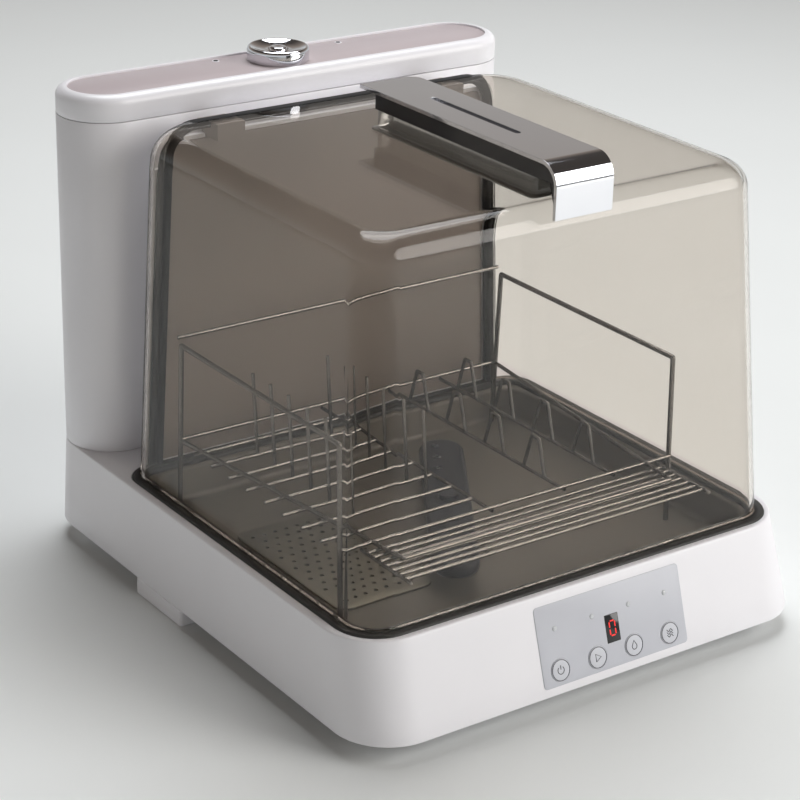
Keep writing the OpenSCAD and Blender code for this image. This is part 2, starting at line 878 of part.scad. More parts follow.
// Power board under the column
power_w = 90;
power_d = 50;
power_x = base_w / 2 - 134;
power_rise = 6;
stud_in = 5;
module power_board() {
    z = z_in + power_rise;
    color([0.1, 0.3, 0.2]) translate([power_x, y_col, z]) {
        linear_extrude(board_t) square([power_w, power_d], center = true);
        for (x = [-1, 1], y = [-1, 1])
            translate([x * (power_w / 2 - stud_in), y * (power_d / 2 - stud_in), -power_rise])
                cylinder(r = 3, h = power_rise);
        translate([power_w / 5, 0, board_t]) linear_extrude(18) square([26, 22], center = true);
        for (s = [-1, 1])
            translate([-power_w / 4, s * 12, board_t]) cylinder(r = 7, h = 16);
    }
}

// Gland for a power cord
gland_x = 126;
z_gland = z_in + 24;
gland_r = 8;
gland_bore = 3.6;
module cable_gland() {
    color(dark) translate([gland_x, y_rear - shell_t - 4, z_gland]) rotate([-90, 0, 0]) difference() {
        union() {
            cylinder(r = gland_r, h = shell_t + 10);
            cylinder(r = gland_r + 3, h = 4);
        }
        translate([0, 0, -1]) cylinder(r = gland_bore, h = shell_t + 12);
    }
}

// Column shell
module tank_shell() {
    color(white) difference() {
        column_block(0, z_deck, z_seam);
        column_block(col_t, z_deck - 1, z_seam + 1);
    }
}

// Water tank inside the column
z_tank = z_deck + tank_low;
z_tank_top = z_seam - tank_top_gap;
module water_tank() {
    inset = col_t + tank_gap;
    color([0.85, 0.88, 0.9, 0.6]) difference() {
        union() {
            column_block(inset, z_tank, z_tank_top);
            for (x = [-110, 0, 110])
                translate([x, y_col, z_deck]) cylinder(r = 6, h = tank_low + eps);
            translate([valve_x, y_col, z_deck - deck_t])
                cylinder(r = hose_r + 2, h = deck_t + tank_low + eps);
        }
        column_block(inset + tank_t, z_tank + tank_t, z_tank_top + 1);
        translate([valve_x, y_col, z_deck - deck_t - 1]) cylinder(r = hose_r - hose_t, h = deck_t + 12);
    }
}

// Valve below the tank's outlet
valve_h = 24;
module fill_valve() {
    z1 = z_deck - deck_t;
    color(dark) translate([valve_x, y_col, z1 - valve_h]) {
        cylinder(r = 13, h = valve_h);
        translate([0, 6, 4]) cube([24, 12, 14]);
    }
}

// Hose from the valve into the tub
module fill_hose() {
    y0 = y_col - 13.2;
    color(dark) translate([valve_x, y0, z_fill]) rotate([90, 0, 0])
        tube(hose_r, y0 - tub_y1);
}

// Stem of the level float
module float_stem() {
    z0 = z_tank + tank_t;
    color(steel) translate([float_x, y_col, z0]) {
        cylinder(r = stem_r, h = float_rise + float_h + 20);
        cylinder(r = stem_r + 4, h = 6);
        translate([0, 0, float_rise + float_h + 14]) cylinder(r = stem_r + 4, h = 6);
    }
}

// Float that rises with the water
module tank_float() {
    color([0.9, 0.6, 0.2]) translate([float_x, y_col, z_tank + tank_t + 6 + 0.2]) difference() {
        cylinder(r = float_r, h = float_h);
        translate([0, 0, -1]) cylinder(r = stem_r + fit, h = float_h + 2);
    }
}

// Cover on top of the column
module tank_cover() {
    color(white) difference() {
        union() {
            column_block(0, z_seam, z_col_top);
            column_block(col_t + fit, z_seam - 1.5, z_seam + eps);
        }
        column_block(col_t * 2, z_seam - 2, z_inlay - inlay_t - col_t);
        column_block(cover_rim, z_inlay - inlay_t, z_col_top + 1);
        translate([neck_x, y_col, z_seam]) cylinder(r = neck_r + run_fit, h = cover_h + 1);
    }
}

// Grey inlay on the cover
vent_x = 58;
vent_mid = 5.5;
module cover_panel() {
    color([0.72, 0.7, 0.71]) difference() {
        column_block(cover_rim + 0.2, z_inlay - inlay_t, z_inlay);
        translate([neck_x, y_col, z_inlay - 5]) cylinder(r = neck_r + fit, h = 9);
        for (s = [-1, 1])
            translate([vent_mid + s * vent_x, y_col + 20, z_inlay - 5]) cylinder(r = 2, h = 9, $fn = 24);
    }
}

// Neck through which the tank is filled
module filler_neck() {
    z1 = z_inlay;
    z_under = z_inlay - inlay_t - col_t;
    color(white) translate([neck_x, y_col, 0]) difference() {
        union() {
            translate([0, 0, z1 - neck_l]) cylinder(r = neck_r, h = neck_l);
            translate([0, 0, z_under - 2.5]) cylinder(r = neck_r + 5, h = 2.5);
        }
        translate([0, 0, z1 - neck_l - 1]) cylinder(r = neck_in, h = neck_l + 2);
    }
}

// Chrome filler cap that lifts off its neck
module filler_cap() {
    z0 = z_inlay + 0.2;
    h = z_col_top + cap_rise - z0;
    edge = 1.5;
    color(steel) translate([neck_x, y_col, z0]) {
        rotate_extrude()
            polygon([[0, 0], [cap_r - edge, 0], [cap_r, edge], [cap_r, h - edge], [cap_r - edge, h],
                [cap_r - 4, h], [cap_r - 8, h - 4], [6, h - 4.5], [5, h - 2], [0, h - 1.6]]);
        translate([0, 0, -18]) cylinder(r = cap_stem_r, h = 18 + eps);
    }
}

// Fixed frame that closes the chamber at the rear and carries the hinge
module back_frame() {
    slot_w = knuckle_w + 2 * fit + 0.4;
    color(white) difference() {
        union() {
            rear_block(-1, frame_front, frame_t, z_deck, z_axis);
            rear_block(frame_lip, frame_front, frame_lip_t, z_deck, z_axis - 20);
            difference() {
                translate([-barrel_half, frame_front, z_deck])
                    cube([2 * barrel_half, back_d, z_axis - z_deck]);
                translate([-barrel_half + frame_t, frame_front + frame_t, z_deck - 1])
                    cube([2 * (barrel_half - frame_t), back_d, z_axis - frame_t - z_deck + 1]);
            }
            translate([-barrel_half, y_axis, z_axis]) rotate([0, 90, 0])
                cylinder(r = barrel_r, h = 2 * barrel_half);
        }
        for (s = [-1, 1]) {
            translate([s * knuckle_x - slot_w / 2, frame_front - 1, z_axis - knuckle_r - 2])
                cube([slot_w, back_d - 1, 2 * knuckle_r + 8]);
            translate([s * knuckle_x - pin_l / 2, y_axis, z_axis]) rotate([0, 90, 0])
                cylinder(r = pin_r + 0.02, h = pin_l, $fn = 32);
        }
    }
}

// Pins of the hood hinge
module hinge_pins() {
    color(steel)
        for (s = [-1, 1])
            translate([s * knuckle_x - pin_l / 2 + 0.2, y_axis, z_axis]) rotate([0, 90, 0])
                cylinder(r = pin_r, h = pin_l - 0.4, $fn = 32);
}

// Sensor for the closed hood, behind the frame's front
sensor_x = 60;
module hood_sensor() {
    color(dark) translate([sensor_x - 12, frame_front + frame_lip_t, z_axis - 34])
        cube([24, 8, 12]);
}

// Clear hood
module hood_shell() {
    color(smoke) difference() {
        hood_form(0, z_hood_0);
        hood_form(hood_t, z_hood_0 - 1);
        rear_block(-rear_seal_w, hood_y_rear - hood_t - 1, hood_t + 2, z_hood_0 - 1, z_hood_top);
    }
}

// Black seal on the hood's rear edge
module hood_rear_seal() {
    color(rubber) difference() {
        union() {
            rear_block(0, hood_y_rear, rear_seal_t, z_hood_0, z_hood_top);
            rear_block(seal_out, hood_y_rear, rear_seal_t, z_hood_0, z_axis - 30);
        }
        rear_block(-rear_seal_w, hood_y_rear - 1, rear_seal_t + 2, z_hood_0 - 1, z_hood_top);
    }
}

// Hood halves of the hinge, with their tabs under the hood's top
tab_l = 10;
module hinge_knuckles() {
    z_top = z_hood_top - hood_t - run_fit;
    z_pass = z_hood_top - max(rear_seal_w, hood_t) - fit;
    y_in = hood_y_rear - hood_t - fit;
    color(dark)
        for (s = [-1, 1])
            translate([s * knuckle_x, 0, 0]) difference() {
                union() {
                    translate([-knuckle_w / 2, y_axis, z_axis]) rotate([0, 90, 0])
                        cylinder(r = knuckle_r, h = knuckle_w);
                    translate([-knuckle_w / 2, y_in - tab_l, z_axis - 2])
                        cube([knuckle_w, y_axis - y_in + tab_l, z_pass - z_axis + 2]);
                    translate([-knuckle_w / 2, y_in - tab_l, z_axis - 2])
                        cube([knuckle_w, tab_l, z_top - z_axis + 2]);
                }
                translate([-knuckle_w, y_axis, z_axis]) rotate([0, 90, 0])
                    cylinder(r = pin_r + run_fit, h = 2 * knuckle_w, $fn = 32);
            }
}

// Magnet under one hinge tab
module hood_magnet() {
    color(steel) translate([knuckle_x, hood_y_rear - hood_t - fit - tab_l / 2, z_axis - 5])
        cylinder(r = 4, h = 3);
}

// Clear raised plinth under the handle
module handle_plinth() {
    y0 = hood_edge(z_hood_top) + hood_edge_r + 2;
    color(smoke)
        translate([-strip_w / 2 + base_inset + 1, y0, z_hood_top])
            cube([strip_w - 2 * base_inset - 2, strip_y1 - handle_back - y0, plinth_h]);
}

// Dark handle body between the plinth and the strip
flap_y = strip_y0 - bend_out;
module handle_base() {
    half = strip_w / 2 - base_inset;
    z0 = z_hood_top + plinth_h;
    z1 = z_strip - strip_t;
    z_low = z_hood_top - flap_drop;
    y_hood = hood_edge(z_hood_top);
    color(dark)
        translate([half, 0, 0]) rotate([0, -90, 0]) linear_extrude(2 * half)
            polygon([[z0, strip_y1 - handle_back], [z1, strip_y1 - handle_back], [z1, strip_y0 + eps],
                [z1 - bend_out + strip_t, flap_y + strip_t], [z_low + 1, flap_y + strip_t],
                [z_low + 1, flap_y + strip_t + 2], [z_hood_top - 4, y_hood - 2.5],
                [z0, y_hood + 4]]);
}

// Chrome strip with its bent front flap
module handle_strip() {
    r_in = bend_out - strip_t;
    z_low = z_hood_top - flap_drop;
    slot_l = 104;
    slot_w = 5;
    color(steel) difference() {
        union() {
            translate([-strip_w / 2, strip_y0, z_strip - strip_t])
                cube([strip_w - 12, strip_l, strip_t]);
            translate([-strip_w / 2, strip_y0, z_strip - strip_t])
                cube([strip_w, strip_l - 12, strip_t]);
            translate([strip_w / 2 - 12, strip_y1 - 12, z_strip - strip_t])
                cylinder(r = 12, h = strip_t);
            translate([-strip_w / 2, strip_y0, z_strip - bend_out]) rotate([0, 90, 0])
                linear_extrude(strip_w) intersection() {
                    difference() {
                        circle(bend_out);
                        circle(r_in);
                    }
                    translate([-bend_out, -bend_out]) square(bend_out);
                }
            translate([-strip_w / 2, flap_y, z_low])
                cube([strip_w, strip_t, z_strip - bend_out - z_low]);
        }
        translate([0, (strip_y0 + strip_y1) / 2, z_strip - strip_t - 1])
            linear_extrude(strip_t + 2) oblong_y(slot_w, slot_l);
    }
}

base_shell();
base_plate();
base_screws();
front_feet();
rear_feet();
wash_tub();
tub_seal();
sump_cup();
sump_filter();
sump_hose();
pump_housing();
pump_impeller();
pump_motor();
delivery_hose();
drain_pump();
drain_hose();
drain_spigot();
heater_tube();
spray_post();
spray_nut();
spray_arm();
rack_frame();
rack_floor();
plate_prongs();
bowl_loops();
cutlery_shelf();
control_panel();
display_window();
display_digit();
indicator_lenses();
key_1();
key_2();
key_3();
key_4();
control_board();
power_board();
cable_gland();
tank_shell();
water_tank();
fill_valve();
fill_hose();
float_stem();
tank_float();
tank_cover();
cover_panel();
filler_neck();
filler_cap();
back_frame();
hinge_pins();
hood_sensor();
hood_shell();
hood_rear_seal();
hinge_knuckles();
hood_magnet();
handle_plinth();
handle_base();
handle_strip();
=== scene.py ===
"""Countertop dishwasher: the looks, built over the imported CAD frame."""

import logging
import math
from dataclasses import dataclass
from enum import Enum
from typing import Callable, Iterable, Sequence

import bmesh
import bpy
from mathutils import Matrix, Vector


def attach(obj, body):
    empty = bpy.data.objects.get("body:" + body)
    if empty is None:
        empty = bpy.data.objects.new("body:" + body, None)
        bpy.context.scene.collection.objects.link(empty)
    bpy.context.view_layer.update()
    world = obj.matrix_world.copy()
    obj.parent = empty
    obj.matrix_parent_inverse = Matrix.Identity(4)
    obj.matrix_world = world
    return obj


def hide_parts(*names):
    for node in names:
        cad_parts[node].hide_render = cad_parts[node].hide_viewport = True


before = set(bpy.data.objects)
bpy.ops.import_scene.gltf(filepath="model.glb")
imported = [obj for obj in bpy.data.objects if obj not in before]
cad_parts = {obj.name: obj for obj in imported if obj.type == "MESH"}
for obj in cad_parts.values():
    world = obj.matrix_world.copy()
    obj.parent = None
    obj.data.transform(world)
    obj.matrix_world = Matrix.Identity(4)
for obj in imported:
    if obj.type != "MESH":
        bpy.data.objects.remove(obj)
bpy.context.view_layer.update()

LOG = logging.getLogger("dishwasher")
MM = 0.001
# Vertices this near in metres are one
WELD = 1e-6
# Path points this near in millimetres are one
SAME_POINT = 1e-4
# Most of a straight that one bend may take
BEND_SHARE = 0.49
Flat = tuple[float, float]
Point = tuple[float, float, float]


class Body(Enum):
    """The CAD bodies that pieces ride on."""

    BASE = "base"
    HOOD = "hood"
    RACK = "rack"
    SPRAY = "spray_arm"
    CAP = "filler_cap"
    KEY_1 = "key_1"
    KEY_2 = "key_2"
    KEY_3 = "key_3"
    KEY_4 = "key_4"


KEYS = (1, 2, 3, 4)


# Materials


def linear(code: str) -> tuple[float, float, float, float]:
    """Turn an sRGB hex colour into linear RGBA.

    Args:
        code: Colour as #RRGGBB.

    Returns:
        Linear red, green, blue and an alpha of 1.
    """
    parts = [int(code[i : i + 2], 16) / 255 for i in (1, 3, 5)]
    made = [p / 12.92 if p <= 0.04045 else ((p + 0.055) / 1.055) ** 2.4 for p in parts]
    return made[0], made[1], made[2], 1.0


def add_node(
    tree: bpy.types.NodeTree,
    kind: str,
    settings: dict | None = None,
    links: dict | None = None,
) -> bpy.types.Node:
    """Add one shader node.

    Args:
        tree: Node tree that takes the node.
        kind: Node type.
        settings: Values for properties, or for inputs by name or number.
        links: Output sockets to join to inputs by name or number.

    Returns:
        The new node.
    """
    node = tree.nodes.new(kind)
    for key, value in (settings or {}).items():
        if isinstance(key, str) and hasattr(node, key):
            setattr(node, key, value)
        else:
            node.inputs[key].default_value = value
    for key, socket in (links or {}).items():
        tree.links.new(socket, node.inputs[key])
    return node


@dataclass(frozen=True)
class Finish:
    """One real material and the way it was made.

    Attributes:
        name: Material name.
        slot: Material slot of the record; not used.
        colour: Main colour.
        second: Colour the broad tone drifts to.
        tone_mm: Size of the broad tone.
        grain_mm: Size of the fine grain.
        stretch: Grain scale along x, y and z.
        bump_mm: Height of the grain.
        rough: Mean roughness.
        spread: Roughness change over the grain.
        metallic: 1 for metals.
        ior: Index of refraction.
        clear: Transmission weight.
        coat: Clear coat weight.
        glow: Emission strength.
        shine: Specular level, 0.5 for the plain value of the IOR.
    """

    name: str
    slot: str
    colour: str
    second: str
    tone_mm: float = 60.0
    grain_mm: float = 0.8
    stretch: Point = (1.0, 1.0, 1.0)
    bump_mm: float = 0.01
    rough: float = 0.35
    spread: float = 0.05
    metallic: float = 0.0
    ior: float = 1.5
    clear: float = 0.0
    coat: float = 0.0
    glow: float = 0.0
    shine: float = 0.5

    def build(self) -> bpy.types.Material:
        """Make the material once and return it after that.

        Returns:
            The Blender material.
        """
        known = bpy.data.materials.get(self.name)
        if known:
            return known
        mat = bpy.data.materials.new(self.name)
        mat.use_nodes = True
        tree = mat.node_tree
        shader = tree.nodes["Principled BSDF"]
        place = add_node(tree, "ShaderNodeTexCoord")
        tone = add_node(
            tree,
            "ShaderNodeTexNoise",
            {"Scale": 1000 / self.tone_mm, "Detail": 3.0},
            {"Vector": place.outputs["Object"]},
        )
        mix = add_node(
            tree,
            "ShaderNodeMix",
            {"data_type": "RGBA", 6: linear(self.colour), 7: linear(self.second)},
            {0: tone.outputs["Fac"]},
        )
        turned = add_node(
            tree,
            "ShaderNodeMapping",
            {"Scale": self.stretch},
            {"Vector": place.outputs["Object"]},
        )
        grain = add_node(
            tree,
            "ShaderNodeTexNoise",
            {"Scale": 1000 / self.grain_mm, "Detail": 2.0},
            {"Vector": turned.outputs["Vector"]},
        )
        rough = add_node(
            tree,
            "ShaderNodeMapRange",
            {"To Min": max(self.rough - self.spread, 0.0), "To Max": self.rough + self.spread},
            {"Value": grain.outputs["Fac"]},
        )
        bump = add_node(
            tree,
            "ShaderNodeBump",
            {"Strength": 1.0, "Distance": self.bump_mm * MM},
            {"Height": grain.outputs["Fac"]},
        )
        tree.links.new(mix.outputs[2], shader.inputs["Base Color"])
        tree.links.new(rough.outputs["Result"], shader.inputs["Roughness"])
        tree.links.new(bump.outputs["Normal"], shader.inputs["Normal"])
        shader.inputs["Metallic"].default_value = self.metallic
        if not self.metallic:
            shader.inputs["IOR"].default_value = self.ior
        shader.inputs["Transmission Weight"].default_value = self.clear
        shader.inputs["Coat Weight"].default_value = self.coat
        shader.inputs["Specular IOR Level"].default_value = self.shine
        if self.glow:
            tree.links.new(mix.outputs[2], shader.inputs["Emission Color"])
            shader.inputs["Emission Strength"].default_value = self.glow
        return mat


# Cool white housing with a soft gloss that carries broad highlights
WHITE = Finish(
    "White_ABS_Injection_Moulded", "white_abs", "#F0EFF2", "#EAE9ED",
    tone_mm=90, grain_mm=0.7, bump_mm=0.004, rough=0.3, spread=0.04, ior=1.53,
)
# Warm grey tub that stays dull under the hood
TUB = Finish(
    "Grey_PP_Injection_Moulded", "tub_grey", "#746E64", "#6B655C",
    tone_mm=40, grain_mm=1.0, bump_mm=0.015, rough=0.42, spread=0.06, ior=1.49,
)
# Warm grey sheet over the white back wall of the chamber, seen only through the hood; its grey is
# painted shade, and the hinge knuckles take it too
BACK_SHADE = Finish(
    "Painted_Shade_Warm_Grey", "tub_grey", "#938A84", "#8A817B",
    tone_mm=120, grain_mm=1.0, bump_mm=0.01, rough=0.4, spread=0.06, ior=1.49,
)
# Cloudy clear plinth that stays pale under the dark body
CLOUD = Finish(
    "Clear_PC_Plinth_Moulded", "smoke_clear", "#D8D3CB", "#CEC8BF",
    tone_mm=50, grain_mm=12.0, bump_mm=0.01, rough=0.12, spread=0.04, ior=1.5, clear=0.7,
)
# Dark grey ring between the deck and the hood
EPDM = Finish(
    "Charcoal_EPDM_Extruded", "black_rubber", "#363533", "#2E2D2B",
    tone_mm=20, grain_mm=0.5, bump_mm=0.02, rough=0.5, spread=0.08, ior=1.45,
)
# Near-black satin for the small inner fittings
DARK = Finish(
    "Black_PP_Satin_Moulded", "dark_plastic", "#2A2B2E", "#232427",
    tone_mm=25, grain_mm=0.6, bump_mm=0.01, rough=0.45, ior=1.49,
)
# Deep black body under the handle strip with soft reflections
GLOSS = Finish(
    "Black_ABS_High_Gloss", "dark_plastic", "#232326", "#2B2B2E",
    tone_mm=40, grain_mm=1.2, bump_mm=0.003, rough=0.14, spread=0.04, ior=1.53,
)
# Dark blue spray arm with a faint sheen
NAVY = Finish(
    "Navy_PP_Satin_Moulded", "navy_plastic", "#22252F", "#1C1F29",
    tone_mm=30, grain_mm=0.6, bump_mm=0.01, rough=0.36, ior=1.49,
)
# Matt black of the hood's seal, the front feet and the hoses, and painted shade in the vent holes
RUBBER = Finish(
    "Black_Silicone_Rubber_Moulded", "black_rubber", "#141415", "#1B1B1C",
    tone_mm=15, grain_mm=0.5, bump_mm=0.02, rough=0.55, spread=0.08, ior=1.41,
    shine=0.2,
)
# Grey steel with lines drawn along x
STEEL = Finish(
    "Stainless_Steel_Brushed", "stainless", "#BAB8B5", "#A9A7A4",
    tone_mm=30, grain_mm=0.35, stretch=(0.03, 1.0, 1.0), bump_mm=0.006,
    rough=0.28, spread=0.1, metallic=1.0,
)
# Dull olive-grey sheet with punched holes over the sump
MESH = Finish(
    "Stainless_Sheet_Punched", "stainless", "#7F7A6F", "#757064",
    tone_mm=40, grain_mm=0.8, bump_mm=0.004, rough=0.5, spread=0.06, metallic=1.0,
)
# Dark thin wires that glint along their length
WIRE = Finish(
    "Stainless_Wire_Drawn_Polished", "rack_wire", "#868380", "#7B7875",
    tone_mm=20, grain_mm=0.3, stretch=(0.1, 0.1, 0.1), bump_mm=0.003,
    rough=0.22, spread=0.05, metallic=1.0,
)
# Mirror plating for the handle strip and the filler cap
CHROME = Finish(
    "Chrome_Plated_ABS", "chrome", "#E3E4E8", "#DADBE0",
    tone_mm=50, grain_mm=9.0, bump_mm=0.004, rough=0.06, spread=0.02, metallic=1.0,
)
# Silver-lilac printed film of the control panel
FILM = Finish(
    "Silver_Polyester_Film_Printed", "panel_film", "#C3C5CC", "#BBBDC5",
    tone_mm=35, grain_mm=0.25, bump_mm=0.004, rough=0.34, spread=0.06, ior=1.57,
)
# Slightly lighter face of the round keys
KEY = Finish(
    "Silver_Silicone_Key_Coated", "white_abs", "#D2D4DA", "#CBCDD4",
    tone_mm=12, grain_mm=0.3, bump_mm=0.005, rough=0.38, spread=0.06, ior=1.43,
)
# Dark ink of the key rings and pictograms
INK = Finish(
    "Charcoal_Screen_Ink", "dark_plastic", "#3B3C42", "#46474D",
    tone_mm=4, grain_mm=0.2, bump_mm=0.004, rough=0.6, ior=1.5,
)
# Mauve-grey plate set into the column cover
INLAY = Finish(
    "Mauve_Grey_ABS_Satin", "cover_grey", "#BEB2B4", "#B5A9AC",
    tone_mm=70, grain_mm=0.6, bump_mm=0.006, rough=0.36, spread=0.05, ior=1.53,
)
# Glossy black pane over the digit
PANE = Finish(
    "Black_Acrylic_Pane_Polished", "display_black", "#0B0B0D", "#111113",
    tone_mm=10, grain_mm=2.0, bump_mm=0.001, rough=0.08, spread=0.03, ior=1.49,
)
# Lit red segments
DIGIT = Finish(
    "Red_LED_Segment_Lit", "digit_red", "#F0201A", "#D8140F",
    tone_mm=3, grain_mm=0.4, bump_mm=0.002, rough=0.3, ior=1.5, glow=0.7,
)
# Small frosted lamp lenses
LENS = Finish(
    "Clear_PC_Lens_Frosted", "lamp_clear", "#EEF0F2", "#E4E7EA",
    tone_mm=3, grain_mm=0.3, bump_mm=0.004, rough=0.25, ior=1.58, clear=0.4,
)
# Smoky clear hood, warm where two walls overlap; the low IOR hardly bends the view
SMOKE = Finish(
    "Smoke_Clear_PC_Injection_Moulded", "smoke_clear", "#F1EDE8", "#EDE8E2",
    tone_mm=160, grain_mm=45.0, bump_mm=0.02, rough=0.015, spread=0.01, ior=1.14, clear=1.0,
    coat=0.35,
)
# Green circuit boards
BOARD = Finish(
    "Green_FR4_Solder_Mask", "board_green", "#12402A", "#1C5638",
    tone_mm=6, grain_mm=1.5, stretch=(1.0, 0.2, 1.0), bump_mm=0.03, rough=0.4, ior=1.55,
)
# Milky inner water tank
TANK = Finish(
    "Natural_PP_Blow_Moulded", "tank_clear", "#DDE3E6", "#D2DADF",
    tone_mm=40, grain_mm=3.0, bump_mm=0.05, rough=0.35, ior=1.49, clear=0.6,
)
# Orange foam float
FOAM = Finish(
    "Orange_Foam_Moulded", "float_orange", "#D9782A", "#C96A20",
    tone_mm=8, grain_mm=0.8, bump_mm=0.1, rough=0.8, ior=1.4,
)


# Mesh tools


def arc(cx: float, cy: float, r: float, start: float, stop: float, count: int) -> list[Flat]:
    """Points on a circle from one angle to another, both in degrees.

    Args:
        cx: Centre, first axis.
        cy: Centre, second axis.
        r: Radius.
        start: First angle.
        stop: Last angle.
        count: Number of points.

    Returns:
        The points in order.
    """
    steps = [math.radians(start + (stop - start) * i / (count - 1)) for i in range(count)]
    return [(cx + r * math.cos(t), cy + r * math.sin(t)) for t in steps]


def circle(sides: int) -> list[Flat]:
    """Points of a whole circle of radius 1."""
    return arc(0, 0, 1, 0, 360 - 360 / sides, sides)


def quarter(radius: float, step: int, first: int = 0) -> list[Flat]:
    """Points of a quarter round, from its side to its top.

    Args:
        radius: Radius of the round.
        step: Angle between points in degrees.
        first: Angle of the first point in degrees.

    Returns:
        For each point, the distance inside the side and the distance under the top.
    """
    turns = [math.radians(a) for a in range(first, 91, step)]
    return [(radius * (1 - math.cos(t)), radius * (1 - math.sin(t))) for t in turns]


def plan(
    half: float, front: float, rear: float, r_front: float, r_rear: float, n: int
) -> list[Flat]:
    """Rounded plan outline, anticlockwise from the front right corner.

    Args:
        half: Half the width.
        front: Front edge.
        rear: Rear edge.
        r_front: Radius of the front corners.
        r_rear: Radius of the rear corners.
        n: Points in each corner.

    Returns:
        The outline.
    """
    return (
        arc(half - r_front, front + r_front, r_front, -90, 0, n)
        + arc(half - r_rear, rear - r_rear, r_rear, 0, 90, n)
        + arc(r_rear - half, rear - r_rear, r_rear, 90, 180, n)
        + arc(r_front - half, front + r_front, r_front, 180, 270, n)
    )


def pad(
    x: float, y: float, half: float, deep: float, r: float, n: int
) -> Callable[[float], list[Flat]]:
    """Rounded rectangle about a point.

    Args:
        x: Middle along the first axis.
        y: Middle along the second axis.
        half: Half the width.
        deep: Half the depth.
        r: Corner radius.
        n: Points in each corner.

    Returns:
        A function that gives the outline for an inset.
    """
    return lambda i: [
        (x + px, y + py) for px, py in plan(half - i, i - deep, deep - i, r - i, r - i, n)
    ]


def lift(outline: Iterable[Flat], z: float) -> list[Point]:
    """Put a plan outline at a height."""
    return [(x, y, z) for x, y in outline]


def rounded(path: Sequence[Point], radius: float, steps: int = 6) -> list[Vector]:
    """Round the corners of a path.

    Args:
        path: Corner points.
        radius: Bend radius.
        steps: Points in each bend.

    Returns:
        The path with bends.
    """
    pts = [Vector(p) for p in path]
    out = [pts[0]]
    for a, b, c in zip(pts, pts[1:], pts[2:]):
        u, w = (a - b), (c - b)
        half = u.angle(w) / 2
        reach = min(radius / math.tan(half), u.length * BEND_SHARE, w.length * BEND_SHARE)
        r = reach * math.tan(half)
        u.normalize()
        w.normalize()
        centre = b + (u + w).normalized() * (r / math.sin(half))
        first, last = b + u * reach - centre, b + w * reach - centre
        for i in range(steps + 1):
            out.append(centre + first.slerp(last, i / steps))
    out.append(pts[-1])
    return out


class Shape:
    """Vertices and faces of one piece, in millimetres."""

    def __init__(self) -> None:
        """Start with nothing."""
        self.verts: list[Point] = []
        self.faces: list[tuple[int, ...]] = []

    def ring(self, points: Iterable[Point | Vector]) -> list[int]:
        """Add the points of a ring.

        Args:
            points: The points in order.

        Returns:
            Their vertex numbers.
        """
        start = len(self.verts)
        self.verts.extend(tuple(p) for p in points)
        return list(range(start, len(self.verts)))

    def loft(
        self,
        rings: Sequence[Sequence[Point | Vector]],
        closed: bool = True,
        start: bool = False,
        end: bool = False,
        loop: bool = False,
    ) -> "Shape":
        """Join rings of equal length with faces.

        Args:
            rings: The rings in order.
            closed: Whether each ring closes on itself.
            start: Whether the first ring is filled.
            end: Whether the last ring is filled.
            loop: Whether the last ring joins the first.

        Returns:
            This shape.
        """
        made = [self.ring(r) for r in rings]
        pairs = list(zip(made, made[1:])) + ([(made[-1], made[0])] if loop else [])
        for low, high in pairs:
            n = len(low)
            for i in range(n if closed else n - 1):
                j = (i + 1) % n
                self.faces.append((low[i], low[j], high[j], high[i]))
        if start:
            self.faces.append(tuple(reversed(made[0])))
        if end:
            self.faces.append(tuple(made[-1]))
        return self

    def tube(
        self, path: Sequence[Point | Vector], radius: float, sides: int, loop: bool = False
    ) -> "Shape":
        """Sweep a circle along a path.

        Args:
            path: Path points.
            radius: Radius of the tube.
            sides: Points round the tube.
            loop: Whether the path closes.

        Returns:
            This shape.
        """
        pts = [Vector(p) for p in path]
        pts = [p for i, p in enumerate(pts) if i == 0 or (p - pts[i - 1]).length > SAME_POINT]
        n = len(pts)
        rings, side = [], None
        for i, p in enumerate(pts):
            before = pts[i - 1] if i or loop else p
            after = pts[(i + 1) % n] if i < n - 1 or loop else p
            way = (after - before).normalized()
            if side is None:
                side = way.orthogonal().normalized()
            side = (side - way * side.dot(way)).normalized()
            other = way.cross(side)
            rings.append([p + side * c * radius + other * s * radius for c, s in circle(sides)])
        return self.loft(rings, start=not loop, end=not loop, loop=loop)

    def lathe(self, profile: Sequence[Flat], x: float, y: float, sides: int) -> "Shape":
        """Turn a profile of radius and height about a vertical axis.

        Args:
            profile: Radius and height of each ring.
            x: Axis place along x.
            y: Axis place along y.
            sides: Points round the axis.

        Returns:
            This shape.
        """
        rings = [[(x + c * r, y + s * r, z) for c, s in circle(sides)] for r, z in profile]
        return self.loft(rings, start=True, end=True)

    def slab(
        self, outline: Callable[[float], list[Flat]], low: float, high: float, edge: float
    ) -> "Shape":
        """Plate between two heights with rounded edges.

        Args:
            outline: Gives the outline for an inset.
            low: Lower height.
            high: Upper height.
            edge: Edge radius.

        Returns:
            This shape.
        """
        steps = [(drop, low + inset) for inset, drop in quarter(edge, 30)]
        steps += [(inset, high - drop) for inset, drop in quarter(edge, 30)]
        return self.loft([lift(outline(i), z) for i, z in steps], start=True, end=True)

    def turned(self, matrix: Matrix) -> "Shape":
        """Move every vertex by a matrix in millimetres."""
        self.verts = [tuple(matrix @ Vector(v)) for v in self.verts]
        return self


def soften(obj: bpy.types.Object, width: float, segments: int, angle: float) -> None:
    """Bevel an object's sharp edges.

    Args:
        obj: The object.
        width: Bevel width.
        segments: Faces across the bevel.
        angle: Smallest edge angle in degrees that is bevelled.
    """
    edge = obj.modifiers.new("edge", "BEVEL")
    edge.width = width * MM
    edge.segments = segments
    edge.limit_method = "ANGLE"
    edge.angle_limit = math.radians(angle)


